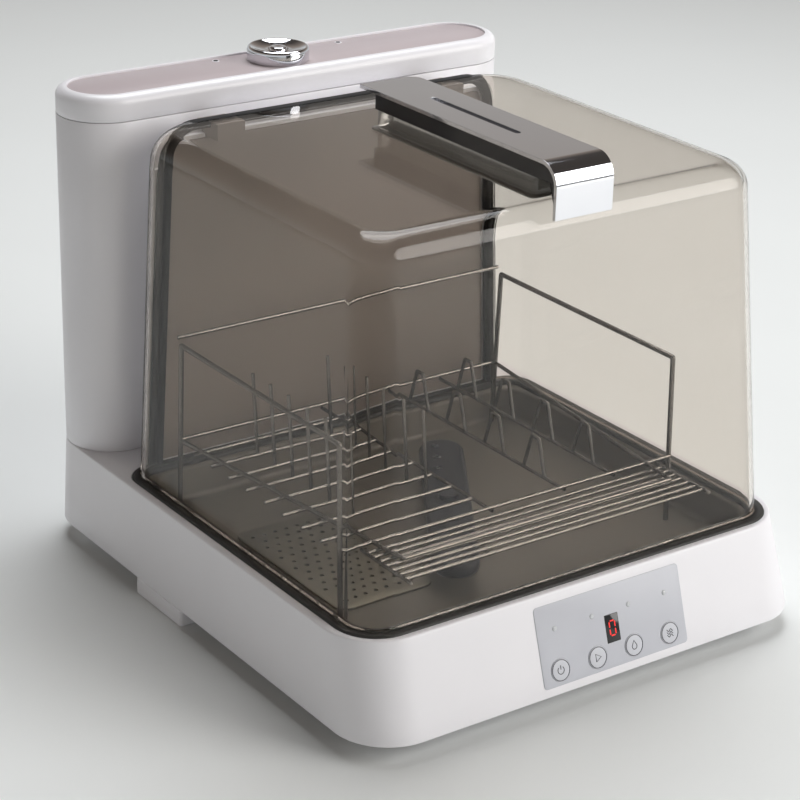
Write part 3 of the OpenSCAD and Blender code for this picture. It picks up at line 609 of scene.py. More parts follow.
def freeze(obj: bpy.types.Object, smooth: float) -> None:
    """Put an object's modifiers into its mesh and set its smooth edges.

    Args:
        obj: The object.
        smooth: Angle in degrees up to which edges are smooth.
    """
    bpy.context.view_layer.update()
    done = obj.evaluated_get(bpy.context.evaluated_depsgraph_get())
    mesh = bpy.data.meshes.new_from_object(done)
    obj.modifiers.clear()
    obj.data = mesh
    bm = bmesh.new()
    bm.from_mesh(mesh)
    for face in bm.faces:
        face.smooth = True
    limit = math.radians(smooth)
    for edge in bm.edges:
        edge.smooth = len(edge.link_faces) == 2 and edge.calc_face_angle(0.0) < limit
    bm.to_mesh(mesh)
    bm.free()


def plain_object(name: str, shape: Shape, solid: bool) -> bpy.types.Object:
    """Make an object from a shape with no material.

    Args:
        name: Object name.
        shape: Its vertices and faces.
        solid: Whether to turn all normals outwards.

    Returns:
        The object, linked to the scene.
    """
    mesh = bpy.data.meshes.new(name)
    mesh.from_pydata([(x * MM, y * MM, z * MM) for x, y, z in shape.verts], [], shape.faces)
    bm = bmesh.new()
    bm.from_mesh(mesh)
    bmesh.ops.remove_doubles(bm, verts=bm.verts, dist=WELD)
    if solid:
        bmesh.ops.recalc_face_normals(bm, faces=bm.faces)
    bm.to_mesh(mesh)
    bm.free()
    obj = bpy.data.objects.new(name, mesh)
    bpy.context.scene.collection.objects.link(obj)
    return obj


def piece(
    name: str,
    shape: Shape,
    finish: Finish,
    body: Body,
    nodes: Sequence[str] = (),
    wall: float = 0.0,
    bevel: float = 0.0,
    smooth: float = 38.0,
    solid: bool = True,
    cut: Shape | None = None,
) -> bpy.types.Object:
    """Make one shown piece from a shape.

    Args:
        name: Object name.
        shape: Its vertices and faces.
        finish: Its material.
        body: CAD body it rides on.
        nodes: CAD nodes it stands for.
        wall: Thickness added inwards.
        bevel: Width of bevelled edges.
        smooth: Angle up to which edges are smooth.
        solid: Whether the shape is closed, so its normals can be put right.
        cut: Shape taken away from it.

    Returns:
        The object.
    """
    obj = plain_object(name, shape, solid)
    if cut is not None:
        tool = plain_object(name + "_cut", cut, True)
        taken = obj.modifiers.new("cut", "BOOLEAN")
        taken.object = tool
        taken.solver = "EXACT"
    if wall:
        shell = obj.modifiers.new("wall", "SOLIDIFY")
        shell.thickness = wall * MM
        shell.offset = -1
        shell.use_even_offset = True
    if bevel:
        soften(obj, bevel, segments=3, angle=40)
    freeze(obj, smooth)
    if bevel:
        obj.modifiers.new("normals", "WEIGHTED_NORMAL").keep_sharp = True
    if cut is not None:
        bpy.data.objects.remove(tool)
    obj.data.materials.clear()
    obj.data.materials.append(finish.build())
    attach(obj, body.value)
    if nodes:
        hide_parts(*nodes)
    LOG.info("%s: %d faces on %s", name, len(obj.data.polygons), body.value)
    return obj


# Sub-assemblies


@dataclass(frozen=True)
class Outline:
    """Rounded plan of one edge.

    Attributes:
        half: Half width.
        front: Front edge.
        rear: Rear edge.
        r_front: Front corner radius.
        r_rear: Rear corner radius.
    """

    half: float
    front: float
    rear: float
    r_front: float
    r_rear: float

    def at(self, z: float, inset: float, n: int) -> list[Point]:
        """Ring at a height.

        Args:
            z: Height.
            inset: Distance inside the edge.
            n: Points in each corner.

        Returns:
            The ring of points.
        """
        half, front, rear = self.half - inset, self.front + inset, self.rear - inset
        return lift(plan(half, front, rear, self.r_front - inset, self.r_rear - inset, n), z)


@dataclass
class BaseHousing:
    """Sloped lower housing with its deck and feet.

    Attributes:
        half_top: Half width at the deck.
        half_low: Half width at the bottom.
        front_top: Front edge at the deck.
        front_low: Front edge at the bottom.
        rear: Rear edge.
        z_low: Bottom edge.
        z_top: Deck.
        r_front: Front corner radius.
        r_rear: Rear corner radius.
        rim: Radius of the deck edge.
        wall: Wall thickness.
        recess: Edge of the recess for the hood.
        foot_x: Front feet along x.
        foot_y: Front feet along y.
        block_x: Rear feet along x.
        block_y: Rear feet along y.
    """

    half_top: float = 200.0
    half_low: float = 204.0
    front_top: float = -217.5
    front_low: float = -240.5
    rear: float = 224.5
    z_low: float = 14.0
    z_top: float = 85.0
    r_front: float = 44.0
    r_rear: float = 37.0
    rim: float = 1.4
    wall: float = 3.0
    recess: Outline = Outline(193.6, -213.1, 119.9, 33.6, 24.0)
    foot_x: float = 157.0
    foot_y: float = -204.0
    block_x: float = 192.5
    block_y: float = 46.5

    def outline(self, z: float, inset: float) -> list[Point]:
        """Outer outline at a height.

        Args:
            z: Height.
            inset: Distance inside the outer face.

        Returns:
            The ring of points.
        """
        up = (z - self.z_low) / (self.z_top - self.z_low)
        half = self.half_low + (self.half_top - self.half_low) * up - inset
        front = self.front_low + (self.front_top - self.front_low) * up + inset
        r_front, r_rear = self.r_front - inset, self.r_rear - inset
        return lift(plan(half, front, self.rear - inset, r_front, r_rear, 14), z)

    def shell(self) -> None:
        """Build the housing with its rounded deck edge and the recess for the hood."""
        low, top, rim = self.z_low, self.z_top, self.rim
        steps = [(top - 8, self.wall), (low + 1.6, self.wall), (low + 0.5, 2.6)]
        steps += [(low, 1.7), (low + 0.4, 0.6), (low + 1.6, 0.0)]
        steps += [(low + 20, 0.0), (low + 45, 0.0), (top - rim - 4, 0.0)]
        steps += [(top - drop, inset) for inset, drop in quarter(rim, 15)]
        rings = [self.outline(z, inset) for z, inset in steps]
        sunk = ((top, 0.0), (top - 0.3, 0.3), (top - 4, 0.3))
        rings += [self.recess.at(z, inset, 14) for z, inset in sunk]
        piece("base_housing", Shape().loft(rings), WHITE, Body.BASE, ["base_shell"], solid=False)

    def feet(self) -> None:
        """Build the round front feet and the long rear feet."""
        front, rear = Shape(), Shape()
        profile = [(0.5, 0), (12.6, 0), (13.6, 0.5), (14, 1.6), (14, 16)]
        for side in (-1, 1):
            front.lathe(profile, side * self.foot_x, self.foot_y, 40)
            rear.slab(pad(side * self.block_x, self.block_y, 11, 34, 3, 6), 0, self.z_low, 1.4)
        piece("front_feet_pads", front, RUBBER, Body.BASE, ["front_feet"])
        piece("rear_feet_blocks", rear, WHITE, Body.BASE, ["rear_feet"])


@dataclass
class WashTub:
    """Grey tub, its ring seal and the strainer plate.

    Attributes:
        half: Inner half width.
        front: Inner front wall.
        rear: Inner rear wall.
        corner: Inner corner radius.
        floor: Floor height.
        flange: Flange top.
        lip: Outer edge of the flange.
        sump_x: Middle of the strainer along x.
        sump_y: Middle of the strainer along y.
        pitch: Distance between the strainer's rows of holes.
    """

    half: float = 176.5
    front: float = -196.0
    rear: float = 102.7
    corner: float = 21.5
    floor: float = 56.0
    flange: float = 83.0
    lip: Outline = Outline(193.0, -212.5, 119.2, 33.0, 24.0)
    sump_x: float = -105.0
    sump_y: float = -46.65
    pitch: float = 10.0

    def inner(self, inset: float, z: float) -> list[Point]:
        """Inner outline moved inwards and set at a height."""
        r = max(self.corner - inset, 1.0)
        return lift(plan(self.half - inset, self.front + inset, self.rear - inset, r, r, 12), z)

    def tub(self) -> None:
        """Build the tub with soft edges between the flange, the walls and the floor."""
        rings = [self.lip.at(self.flange, 0.0, 12)]
        rings += [self.inner(-out, self.flange - down) for down, out in quarter(3, 18)]
        rings += [self.inner(inset, self.floor + up) for inset, up in quarter(4, 15)]
        rings += [self.inner(inset, self.floor) for inset in (60, 140)]
        piece("tub_basin", Shape().loft(rings, end=True), TUB, Body.BASE, ["wash_tub"],
              wall=2.0, solid=False)

    def seal(self) -> None:
        """Build the ring seal with a groove along its top."""
        section = [(0, 83), (0, 85.3), (0.5, 86.1), (1.6, 86.4), (5.2, 86.4), (5.8, 85.8),
                   (6.4, 85.6), (7.0, 85.8), (7.6, 86.4), (12.2, 86.4), (13.2, 86.0),
                   (13.7, 85.2), (13.7, 83)]
        rings = [self.lip.at(z, inset, 14) for inset, z in section]
        piece("tub_ring_seal", Shape().loft(rings, loop=True), EPDM, Body.BASE, ["tub_seal"],
              smooth=60)

    def strainer(self) -> None:
        """Build the perforated strainer plate over the sump."""
        plate = Shape().slab(pad(self.sump_x, self.sump_y, 42.0, 73.0, 10, 8), 56.1, 58.0, 0.6)
        holes = Shape()
        for i in range(-3, 4):
            for j in range(-6, 7):
                x = self.sump_x + (i - 0.25 + (j % 2) / 2) * self.pitch
                holes.lathe([(1.8, 56.4), (1.8, 60)], x, self.sump_y + j * self.pitch, 12)
        piece("strainer_plate", plate, MESH, Body.BASE, ["sump_filter"], cut=holes)


@dataclass
class ControlPanel:
    """Film panel, keys, lamps and lit digit on the sloped front.

    Attributes:
        centre: Panel centre along x.
        film_v: Middle of the film along the slope.
        pane_v: Middle of the display along the slope.
        key_v: Key height along the slope.
        lamp_v: Lamp height along the slope.
        pitch: Distance between keys.
        edge_y: Upper edge of the slope along y.
        edge_z: Upper edge of the slope along z.
        rake: Slope of the front in degrees.
    """

    centre: float = 14.0
    film_v: float = -38.0
    pane_v: float = -39.5
    key_v: float = -57.0
    lamp_v: float = -26.5
    pitch: float = 34.0
    edge_y: float = -217.5
    edge_z: float = 85.0
    rake: float = math.degrees(math.atan2(23.0, 71.0))

    def on_front(self, shape: Shape) -> Shape:
        """Move a flat shape onto the sloped front."""
        tilt = Matrix.Rotation(math.radians(90 - self.rake), 4, "X")
        return shape.turned(Matrix.Translation((0, self.edge_y, self.edge_z)) @ tilt)

    def key_x(self, number: int) -> float:
        """Place of a key along x."""
        return self.centre + self.pitch * (number - 2.5)

    def film(self) -> None:
        """Build the film with its thin edge and a round hole for each key."""
        film = Shape().slab(pad(self.centre, self.film_v, 67, 30, 3, 6), -0.2, 0.4, 0.25)
        holes = Shape()
        for n in KEYS:
            holes.lathe([(8.7, -1.0), (8.7, 2.0)], self.key_x(n), self.key_v, 40)
        piece("panel_film", self.on_front(film), FILM, Body.BASE, ["control_panel"],
              cut=self.on_front(holes))

    def display(self) -> None:
        """Build the black pane and the lit digit."""
        pane = Shape().slab(pad(self.centre, self.pane_v, 6.25, 10.5, 0.6, 4), 0.0, 0.5, 0.2)
        piece("display_pane", self.on_front(pane), PANE, Body.BASE, ["display_window"])
        digit = Shape()
        tip = 0.5
        bars = [(0, 5.4, True), (0, -5.4, True), (-2.5, 2.7, False), (2.5, 2.7, False),
                (-2.5, -2.7, False), (2.5, -2.7, False)]
        for x, v, flat in bars:
            w, h = (2.0, 0.5) if flat else (0.5, 2.2)
            if flat:
                ends = [(-w, 0), (-w + tip, -h), (w - tip, -h), (w, 0), (w - tip, h), (-w + tip, h)]
            else:
                ends = [(0, -h), (w, -h + tip), (w, h - tip), (0, h), (-w, h - tip), (-w, -h + tip)]
            bar = [(self.centre + x + px, v + self.pane_v + py) for px, py in ends]
            digit.loft([lift(bar, z) for z in (0.45, 0.6)], start=True, end=True)
        piece("lit_digit", self.on_front(digit), DIGIT, Body.BASE, ["display_digit"])

    def lamps(self) -> None:
        """Build the four small lenses."""
        lamps = Shape()
        dome = [(0.2, 0.1), (2.0, 0.1), (2.0, 0.5), (1.7, 0.8), (0.9, 1.0), (0.1, 1.05)]
        for n in KEYS:
            lamps.lathe(dome, self.key_x(n), self.lamp_v, 20)
        piece("lamp_lenses", self.on_front(lamps), LENS, Body.BASE, ["indicator_lenses"])

    def marks(self, number: int) -> Shape:
        """Ring and pictogram strokes of one key.

        Args:
            number: Key number, 1 to 4.

        Returns:
            The strokes as thin tubes.
        """
        x, v, z = self.key_x(number), self.key_v, 1.0
        across = [k * 0.4 - 2.8 for k in range(15)]
        strokes = {
            1: [arc(0, 0, 2.8, 130, 410, 22), [(0, 3.6), (0, 0.6)]],
            2: [[(-1.9, -2.8), (2.9, 0), (-1.9, 2.8), (-1.9, -2.8)]],
            3: [arc(0, -0.8, 2.2, 150, 390, 18) + [(0, 3.6), (-1.9, 0.3)]],
            4: [[(u, o + 0.9 * math.sin(u * 1.6)) for u in across] for o in (-2, 0, 2)],
        }[number]
        ring = [(x + px, v + pv, z) for px, pv in arc(0, 0, 7.6, 0, 350, 36)]
        made = Shape().tube(ring, 0.28, 6, True)
        for stroke in strokes:
            made.tube([(x + px, v + pv, z) for px, pv in stroke], 0.3, 6)
        return made

    def keys(self) -> None:
        """Build the four keys and their printed marks, each on its own body."""
        side = [(0.5, -5), (8.3, -5), (8.35, 0.5), (8.15, 0.85), (7.7, 1.0), (4, 1.0), (0.5, 1.0)]
        for n in KEYS:
            cap = Shape().lathe(side, self.key_x(n), self.key_v, 40)
            piece(f"key_cap_{n}", self.on_front(cap), KEY, Body(f"key_{n}"), [f"key_{n}"])
            piece(f"key_marks_{n}", self.on_front(self.marks(n)), INK, Body(f"key_{n}"))


@dataclass
class TankColumn:
    """Rear column with the water tank, its cover and the filler cap.

    Attributes:
        half: Half width.
        depth: Depth.
        y: Middle of the depth.
        z_low: Foot.
        seam: Height of the cover seam.
        z_top: Top of the rim.
        round_top: Radius of the top edge.
        neck_x: Filler place along x.
        vent_x: Middle of the two vents along x.
        vent_out: Distance of each vent from that middle.
        vent_back: Distance of the vents behind the middle of the depth.
    """

    half: float = 200.0
    depth: float = 74.0
    y: float = 187.5
    z_low: float = 85.0
    seam: float = 354.0
    z_top: float = 374.0
    round_top: float = 7.6
    neck_x: float = -7.0
    vent_x: float = 5.5
    vent_out: float = 58.0
    vent_back: float = 20.0

    def outline(self, inset: float, z: float) -> list[Point]:
        """Long rounded outline at a height.

        Args:
            inset: Distance inside the outer face.
            z: Height.

        Returns:
            The ring of points.
        """
        r = self.depth / 2 - inset
        x = self.half - self.depth / 2
        return lift(arc(x, self.y, r, -90, 90, 28) + arc(-x, self.y, r, 90, 270, 28), z)

    def shell(self) -> None:
        """Build the column wall with a fine seam under the cover."""
        low, seam = self.z_low, self.seam
        steps = [(3, 86), (3, low + 0.2), (0.4, low + 0.2), (0, low + 0.8), (0, 180), (0, 270),
                 (0, seam - 0.9), (0.3, seam - 0.4), (1.0, seam - 0.3), (3, seam - 0.3)]
        rings = [self.outline(inset, z) for inset, z in steps]
        piece("column_wall", Shape().loft(rings), WHITE, Body.BASE, ["tank_shell"], solid=False)

    def cover(self) -> None:
        """Build the cover with its soft top edge and the sunk inlay."""
        top, seam, r = self.z_top, self.seam, self.round_top
        steps = [(3, seam + 0.2), (1.0, seam + 0.2), (0.3, seam + 0.3), (0, seam + 0.8)]
        steps += [(inset, top - drop) for inset, drop in quarter(r, 10)]
        steps += [(r + 1.0, top), (r + 1.3, top - 0.3), (r + 1.4, top - 2.4)]
        rings = [self.outline(inset, z) for inset, z in steps]
        piece("column_cover", Shape().loft(rings), WHITE, Body.BASE, ["tank_cover"], solid=False)
        r += 1.4
        steps = [(r, top - 2.6), (r + 0.1, top - 1.6), (r + 0.6, top - 1.4)]
        inlay = Shape().loft([self.outline(inset, z) for inset, z in steps], end=True)
        piece("cover_inlay", inlay, INLAY, Body.BASE, ["cover_panel"], solid=False)

    def vents(self) -> None:
        """Build the rims of the two vents and the black discs in them, painted shade for the vent
        holes.
        """
        top, rims, shade_discs = self.z_top, Shape(), Shape()
        rim = [(1.9, top - 1.5), (2.0, top - 1.1), (2.7, top - 1.0), (3.1, top - 1.4)]
        pit = [(0.2, top - 1.2), (1.9, top - 1.2), (1.9, top - 1.0), (0.2, top - 1.0)]
        for side in (-1, 1):
            x, y = self.vent_x + self.vent_out * side, self.y + self.vent_back
            rims.lathe(rim, x, y, 24)
            shade_discs.lathe(pit, x, y, 24)
        piece("vent_rims", rims, WHITE, Body.BASE)
        # Black discs in the vents: painted shade for the holes
        piece("vent_hole_shade_discs", shade_discs, RUBBER, Body.BASE)

    def cap(self) -> None:
        """Build the plated filler cap with its dished top and middle boss."""
        side = [(18, 372.2), (23.6, 372.2), (24.3, 372.6), (24.7, 373.4), (24.7, 381.6),
                (24.3, 383.0), (23.4, 383.8), (22.4, 384.0), (21.6, 383.7), (17, 381.9),
                (12, 380.9), (8.4, 380.6), (7.6, 380.9), (7.2, 382.0), (6.6, 382.9),
                (5.4, 383.3), (2.4, 382.9), (0.4, 382.7)]
        cap = Shape().lathe(side, self.neck_x, self.y, 72)
        piece("filler_cap_plated", cap, CHROME, Body.CAP, ["filler_cap"])


@dataclass(frozen=True)
class HoodRearEdge:
    """Open rear edge of the hood, which the seal and the painted-shade sheet follow.

    Attributes:
        half: Half width at the top, without the corner radius.
        z_top: Top.
        r: Radius of the top corners.
        lean: Width that each side gains for each unit of depth below the top.
    """

    half: float = 152.0
    z_top: float = 358.0
    r: float = 28.0
    lean: float = 14 / 273

    def turn(self) -> Flat:
        """Middle of the right top corner's radius in x and z."""
        x = self.half + self.r * self.lean - self.r * math.hypot(1, self.lean)
        return x, self.z_top - self.r

    def x_at(self, z: float) -> float:
        """Half width at a height.

        Args:
            z: Height.

        Returns:
            Distance from the middle to the edge.
        """
        middle, level = self.turn()
        if z <= level + self.r * math.sin(math.atan(self.lean)):
            return self.half + (self.z_top - z) * self.lean
        return middle + math.sqrt(max(self.r**2 - (z - level) ** 2, 0.0))

    def path(self, low: float) -> list[tuple[float, float, float, float]]:
        """The edge from the left foot over the top to the right foot.

        Args:
            low: Height where it starts.

        Returns:
            For each point x, z and the outward direction in x and z.
        """
        tilt = math.atan(self.lean)
        middle, level = self.turn()
        rise = level + self.r * math.sin(tilt) - low
        heights = [low + rise * i / 14 for i in range(15)]
        side = [(self.x_at(z), z, math.cos(tilt), math.sin(tilt)) for z in heights]
        for x, z in arc(0, 0, 1, math.degrees(tilt), 90, 12)[1:]:
            side.append((middle + self.r * x, level + self.r * z, x, z))
        side += [(middle * k / 6, self.z_top, 0.0, 1.0) for k in range(5, 0, -1)]
        left = [(-x, z, -dx, dz) for x, z, dx, dz in side]
        return left + [(0.0, self.z_top, 0.0, 1.0)] + side[::-1]


REAR_EDGE = HoodRearEdge()


@dataclass
class ChamberBack:
    """Grey sheet on the frame that closes the chamber behind the hood; its grey is painted shade
    over the white back wall.

    Attributes:
        front: Front face of the sheet.
        rear: Front face of the frame.
        inset: Distance inside the hood's rear edge.
        z_low: Lower edge.
        z_high: Upper edge.
    """

    front: float = 118.6
    rear: float = 119.95
    inset: float = 9.5
    z_low: float = 87.0
    z_high: float = 341.0

    def outline(self, more: float) -> list[Flat]:
        """Outline in x and z.

        Args:
            more: Distance that it is moved further inwards.

        Returns:
            The points in order.
        """
        way, low, high = self.inset + more, self.z_low + more, self.z_high - more
        return [(x - dx * way, min(max(z - dz * way, low), high))
                for x, z, dx, dz in REAR_EDGE.path(self.z_low)]

    def shade_sheet(self) -> None:
        """Build the painted-shade sheet with a soft edge."""
        steps = ((0.0, self.rear), (0.0, self.front + 0.5), (0.5, self.front))
        rings = [[(x, y, z) for x, z in self.outline(more)] for more, y in steps]
        piece("chamber_back_shade_sheet", Shape().loft(rings, start=True, end=True), BACK_SHADE, Body.BASE)


@dataclass
class Hood:
    """Clear smoky hood with its rear seal.

    Attributes:
        z_low: Lower edge.
        z_top: Top.
        z_deck: Deck, from which the lean is measured.
        half: Half width at the deck.
        lean_in: Width that each side loses up to the top.
        front: Front face at the deck.
        lean_back: Distance that the front leans back up to the top.
        rear: Rear plane.
        wall: Wall thickness.
        edge: Radius of the top edge.
        r_front: Radius of the front corners.
    """

    z_low: float = 86.7
    z_top: float = 358.0
    z_deck: float = 85.0
    half: float = 186.0
    lean_in: float = 14.0
    front: float = -205.5
    lean_back: float = 25.5
    rear: float = 116.5
    wall: float = 3.5
    edge: float = 18.0
    r_front: float = 26.0

    def ring(self, z: float, inset: float) -> list[Point]:
        """Open outline at a height, from the left rear edge round the front to the right.

        Args:
            z: Height.
            inset: Distance inside the outer face.

        Returns:
            The points in order.
        """
        up = (z - self.z_deck) / (self.z_top - self.z_deck)
        half = self.half - self.lean_in * up - inset
        front = self.front + self.lean_back * up + inset
        r_rear = half - REAR_EDGE.x_at(z)
        r_front = self.r_front - inset * 0.55
        side = arc(r_rear - half, self.rear - r_rear, r_rear, 90, 180, 12)
        side += arc(r_front - half, front + r_front, r_front, 180, 270, 14)
        return lift(side + [(-x, y) for x, y in reversed(side)], z)

    def shell(self) -> None:
        """Build the hood wall."""
        heights = (self.z_low, 115, 150, 190, 230, 270, 300, 320, 332, 340)
        rings = [self.ring(z, 0) for z in heights]
        rings += [self.ring(self.z_top - drop, inset) for inset, drop in quarter(self.edge, 9, 9)]
        shape = Shape().loft(rings, closed=False)
        shape.faces.append(tuple(range(len(shape.verts) - len(rings[0]), len(shape.verts))))
        piece("hood_clear_wall", shape, SMOKE, Body.HOOD, ["hood_shell"],
              wall=self.wall, bevel=0.5, solid=False)

    def seal(self) -> None:
        """Build the black seal, flush at the top, where it laps over the hood's edge."""
        rings = []
        for x, z, dx, dz in REAR_EDGE.path(self.z_low + 0.2):
            out = 3.0 * (1 - min(max((z - 315) / 30, 0.0), 1.0))
            lap = 5.2 * min(max((dz - 0.55) / 0.4, 0.0), 1.0)
            band = [(0.02, 116.6), (0.02, 116.6 - lap), (0.3, 116.5 - lap),
                    (out + 0.4, 116.9 - lap * 0.9), (out + 0.4, 118.9), (out - 0.6, 119.7),
                    (-7.2, 119.7), (-8.0, 118.9), (-8.0, 113.3), (-7.2, 112.5),
                    (-4.6, 112.5), (-3.9, 113.2), (-3.8, 116.6)]
            rings.append([(x + dx * d, y, z + dz * d) for d, y in band])
        piece("hood_edge_seal", Shape().loft(rings, start=True, end=True), RUBBER, Body.HOOD,
              ["hood_rear_seal"], smooth=60)


@dataclass
class Handle:
    """Plated strip of the handle and its clear plinth.

    Attributes:
        half: Half width of the strip.
        top: Top face of the strip.
        flap: Front face of the bent flap.
        rear: Rear end of the strip.
        bend: Outer radius of the bend.
        sheet: Thickness of the strip.
        corner: Radius of the rear right corner.
        slot_front: Middle of the slot's front end.
        slot_rear: Middle of the slot's rear end.
        slot_r: Half width of the slot.
    """

    half: float = 25.0
    top: float = 389.0
    flap: float = -188.5
    rear: float = 46.5
    bend: float = 17.0
    sheet: float = 3.0
    corner: float = 12.0
    slot_front: float = -112.0
    slot_rear: float = -13.0
    slot_r: float = 2.5

    def strip(self) -> None:
        """Build the bent plated strip with its slot and one rounded rear corner."""
        half, top, flap, r, t, corner = (
            self.half, self.top, self.flap, self.bend, self.sheet, self.corner)
        flat = [(self.rear - corner + s * corner, half - corner + c * corner)
                for c, s in arc(0, 0, 1, 90, 0, 9)]
        flat += [(y, half) for y in (10.0, -60.0, -120.0)]
        rows = [[(-half, y, top), (x, y, top), (x, y, top - t), (-half, y, top - t)]
                for y, x in flat]
        down = [[(flap + r - c * k, top - r + s * k) for k in (r, r - t)]
                for c, s in arc(0, 0, 1, 90, 0, 14)]
        down += [[(flap, z), (flap + t, z)] for z in (360.0, 350.0)]
        for (yo, zo), (yi, zi) in down:
            rows.append([(-half, yo, zo), (half, yo, zo), (half, yi, zi), (-half, yi, zi)])
        hole = arc(0, self.slot_front, self.slot_r, 180, 360, 10)
        hole += arc(0, self.slot_rear, self.slot_r, 0, 180, 10)
        slot = Shape().loft([lift(hole, z) for z in (380.0, 395.0)], start=True, end=True)
        piece("handle_strip_plated", Shape().loft(rows, start=True, end=True), CHROME, Body.HOOD,
              ["handle_strip"], bevel=0.8, cut=slot)

    def mount(self) -> None:
        """Build the clear plinth under the strip with its thin foot."""
        plinth = Shape()
        plinth.slab(lambda i: plan(24.5 - i, -162 + i, 34 - i, 5 - i, 5 - i, 6), 358.05, 359.3, 0.4)
        plinth.slab(lambda i: plan(20 - i, -160 + i, 31.5 - i, 4 - i, 4 - i, 6), 359.3, 373.0, 0.8)
        piece("handle_plinth_clear", plinth, CLOUD, Body.HOOD, ["handle_plinth"])


@dataclass
class DishRack:
    """Wire rack with plate prongs, bowl loops and a shelf.

    Attributes:
        half: Half width.
        rear: Rear legs.
        front: Front legs.
        shelf: Front of the shelf.
        z_high: Upper rail.
        z_low: Lower rail.
        foot: Foot of the legs.
        z_root: Foot of the prongs and loops.
        wire: Radius of the thin wires.
    """

    half: float = 152.0
    rear: float = 97.7
    front: float = -127.5
    shelf: float = -189.5
    z_high: float = 196.0
    z_low: float = 111.0
    foot: float = 56.4
    z_root: float = 109.0
    wire: float = 1.4

    def row(self, number: int) -> float:
        """Place of a cross wire along y, counted from the front legs."""
        return self.front + number * ((self.rear - self.front) / 9)

    def frame(self) -> None:
        """Build the bent rails and legs."""
        rails, half, z = Shape(), self.half, self.z_low
        legs = [(self.rear, self.foot), (self.rear, self.z_high),
                (self.front, self.z_high), (self.front, self.foot)]
        for x in (-half, half):
            rails.tube(rounded([(x, y, height) for y, height in legs], 6), 2.0, 12)
        bent = [(-half, self.rear), (-half, self.shelf), (half, self.shelf), (half, self.rear)]
        rails.tube(rounded(lift(bent, z), 30, 12), 1.7, 12)
        for y, height in ((self.rear, self.z_high), (self.rear, z), (self.front, z)):
            rails.tube([(x, y, height) for x in (-half, 0, half)], 1.5, 10)
        piece("rack_rails", rails, WIRE, Body.RACK, ["rack_frame"], smooth=60)

    def floor(self) -> None:
        """Build the floor wires and the closer shelf wires."""
        floor, shelf = Shape(), Shape()
        z = self.z_low - 3.1
        for i in range(1, 9):
            floor.tube([(x, self.row(i), z) for x in (-self.half - 1, -80, -20)], self.wire, 8)
        for x in (-20.0, 48.0, 96.0):
            floor.tube([(x, y, z) for y in (self.front, 0, self.rear)], self.wire, 8)
        near = (self.front - self.shelf) / 8
        reach = self.half - 15
        for i in range(1, 8):
            shelf.tube([(x, self.shelf + i * near, z) for x in (-reach, 0, reach)], self.wire, 8)
        for x in (-reach, reach):
            shelf.tube([(x, y, z) for y in (self.shelf, -160, self.front)], self.wire, 8)
        piece("rack_floor_wires", floor, WIRE, Body.RACK, ["rack_floor"], smooth=60)
        piece("rack_shelf_wires", shelf, WIRE, Body.RACK, ["cutlery_shelf"], smooth=60)

    def holders(self) -> None:
        """Build the leaning plate prongs and the bowl loops."""
        prongs, loops, root = Shape(), Shape(), self.z_root
        for x in (-112.0, -44.0):
            for i in range(2, 8):
                lean = ((0, root), (3.5, 141), (7, 173))
                prongs.tube([(x, self.row(i) + back, z) for back, z in lean], self.wire, 8)
        for x in (48.0, 96.0):
            for i in (1, 3, 5, 7):
                y, n = self.row(i), self.row(i + 1)
                loop = [(x, y, root), (x, y, 145), (x, n, 145), (x, n, root)]
                loops.tube(rounded(loop, 9), self.wire, 8)
        piece("rack_plate_prongs", prongs, WIRE, Body.RACK, ["plate_prongs"], smooth=60)
        piece("rack_bowl_loops", loops, WIRE, Body.RACK, ["bowl_loops"], smooth=60)


@dataclass
class SprayArm:
    """Turning spray arm with its nozzles.

    Attributes:
        x: Axis along x.
        y: Axis along y.
        reach: Length of one arm.
        tip: Radius of the round ends.
        angle: Rest angle in degrees.
    """

    x: float = 0.0
    y: float = -46.65
    reach: float = 114.0
    tip: float = 18.0
    angle: float = 57.0

    def outline(self, inset: float) -> list[Flat]:
        """Plan of the blade, with a round end at each tip."""
        right = arc(self.reach - self.tip, 0, self.tip - inset, -90, 90, 20)
        return right + [(-x, -y) for x, y in right]

    def build(self) -> None:
        """Build the blade, the hub and the nozzle rims."""
        spin = Matrix.Rotation(math.radians(self.angle), 4, "Z")
        hub = [(6.5, 68), (13, 68), (13, 79.5), (12, 80.8), (10, 81), (6.5, 81)]
        rim = [(1.6, 80.1), (3.6, 80.1), (3.4, 80.9), (2.8, 81.3), (1.8, 81.3), (1.5, 80.7)]
        blade = Shape().slab(self.outline, 68.5, 80.5, 4.0).lathe(hub, 0, 0, 40)
        for k in (35, 56, 77, 98):
            for s in (-1, 1):
                blade.lathe(rim, s * k, s * 5.0, 18)
        blade.turned(Matrix.Translation((self.x, self.y, 0)) @ spin)
        piece("spray_blade", blade, NAVY, Body.SPRAY, ["spray_arm"])


def dress_cad() -> None:
    """Give every CAD node that is still shown its material and soft edges."""
    looks: dict[Finish, tuple[str, ...]] = {
        WHITE: ("back_frame", "base_plate", "filler_neck"),
        DARK: ("sump_cup", "pump_housing", "pump_motor", "drain_pump", "drain_spigot",
               "cable_gland", "fill_valve", "pump_impeller", "hood_sensor"),
        GLOSS: ("handle_base",),
        RUBBER: ("sump_hose", "delivery_hose", "drain_hose", "fill_hose"),
        STEEL: ("base_screws", "heater_tube", "hinge_pins", "hood_magnet", "float_stem"),
        NAVY: ("spray_post", "spray_nut"),
        BOARD: ("control_board", "power_board"),
        TANK: ("water_tank",),
        FOAM: ("tank_float",),
        # The hinge knuckles take the same painted-shade grey
        BACK_SHADE: ("hinge_knuckles",),
    }
    for finish, names in looks.items():
        for name in names:
            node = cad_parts[name]
            node.data.materials.clear()
            node.data.materials.append(finish.build())
            soften(node, 0.4, segments=2, angle=50)
            LOG.info("%s: CAD node in %s", name, finish.name)


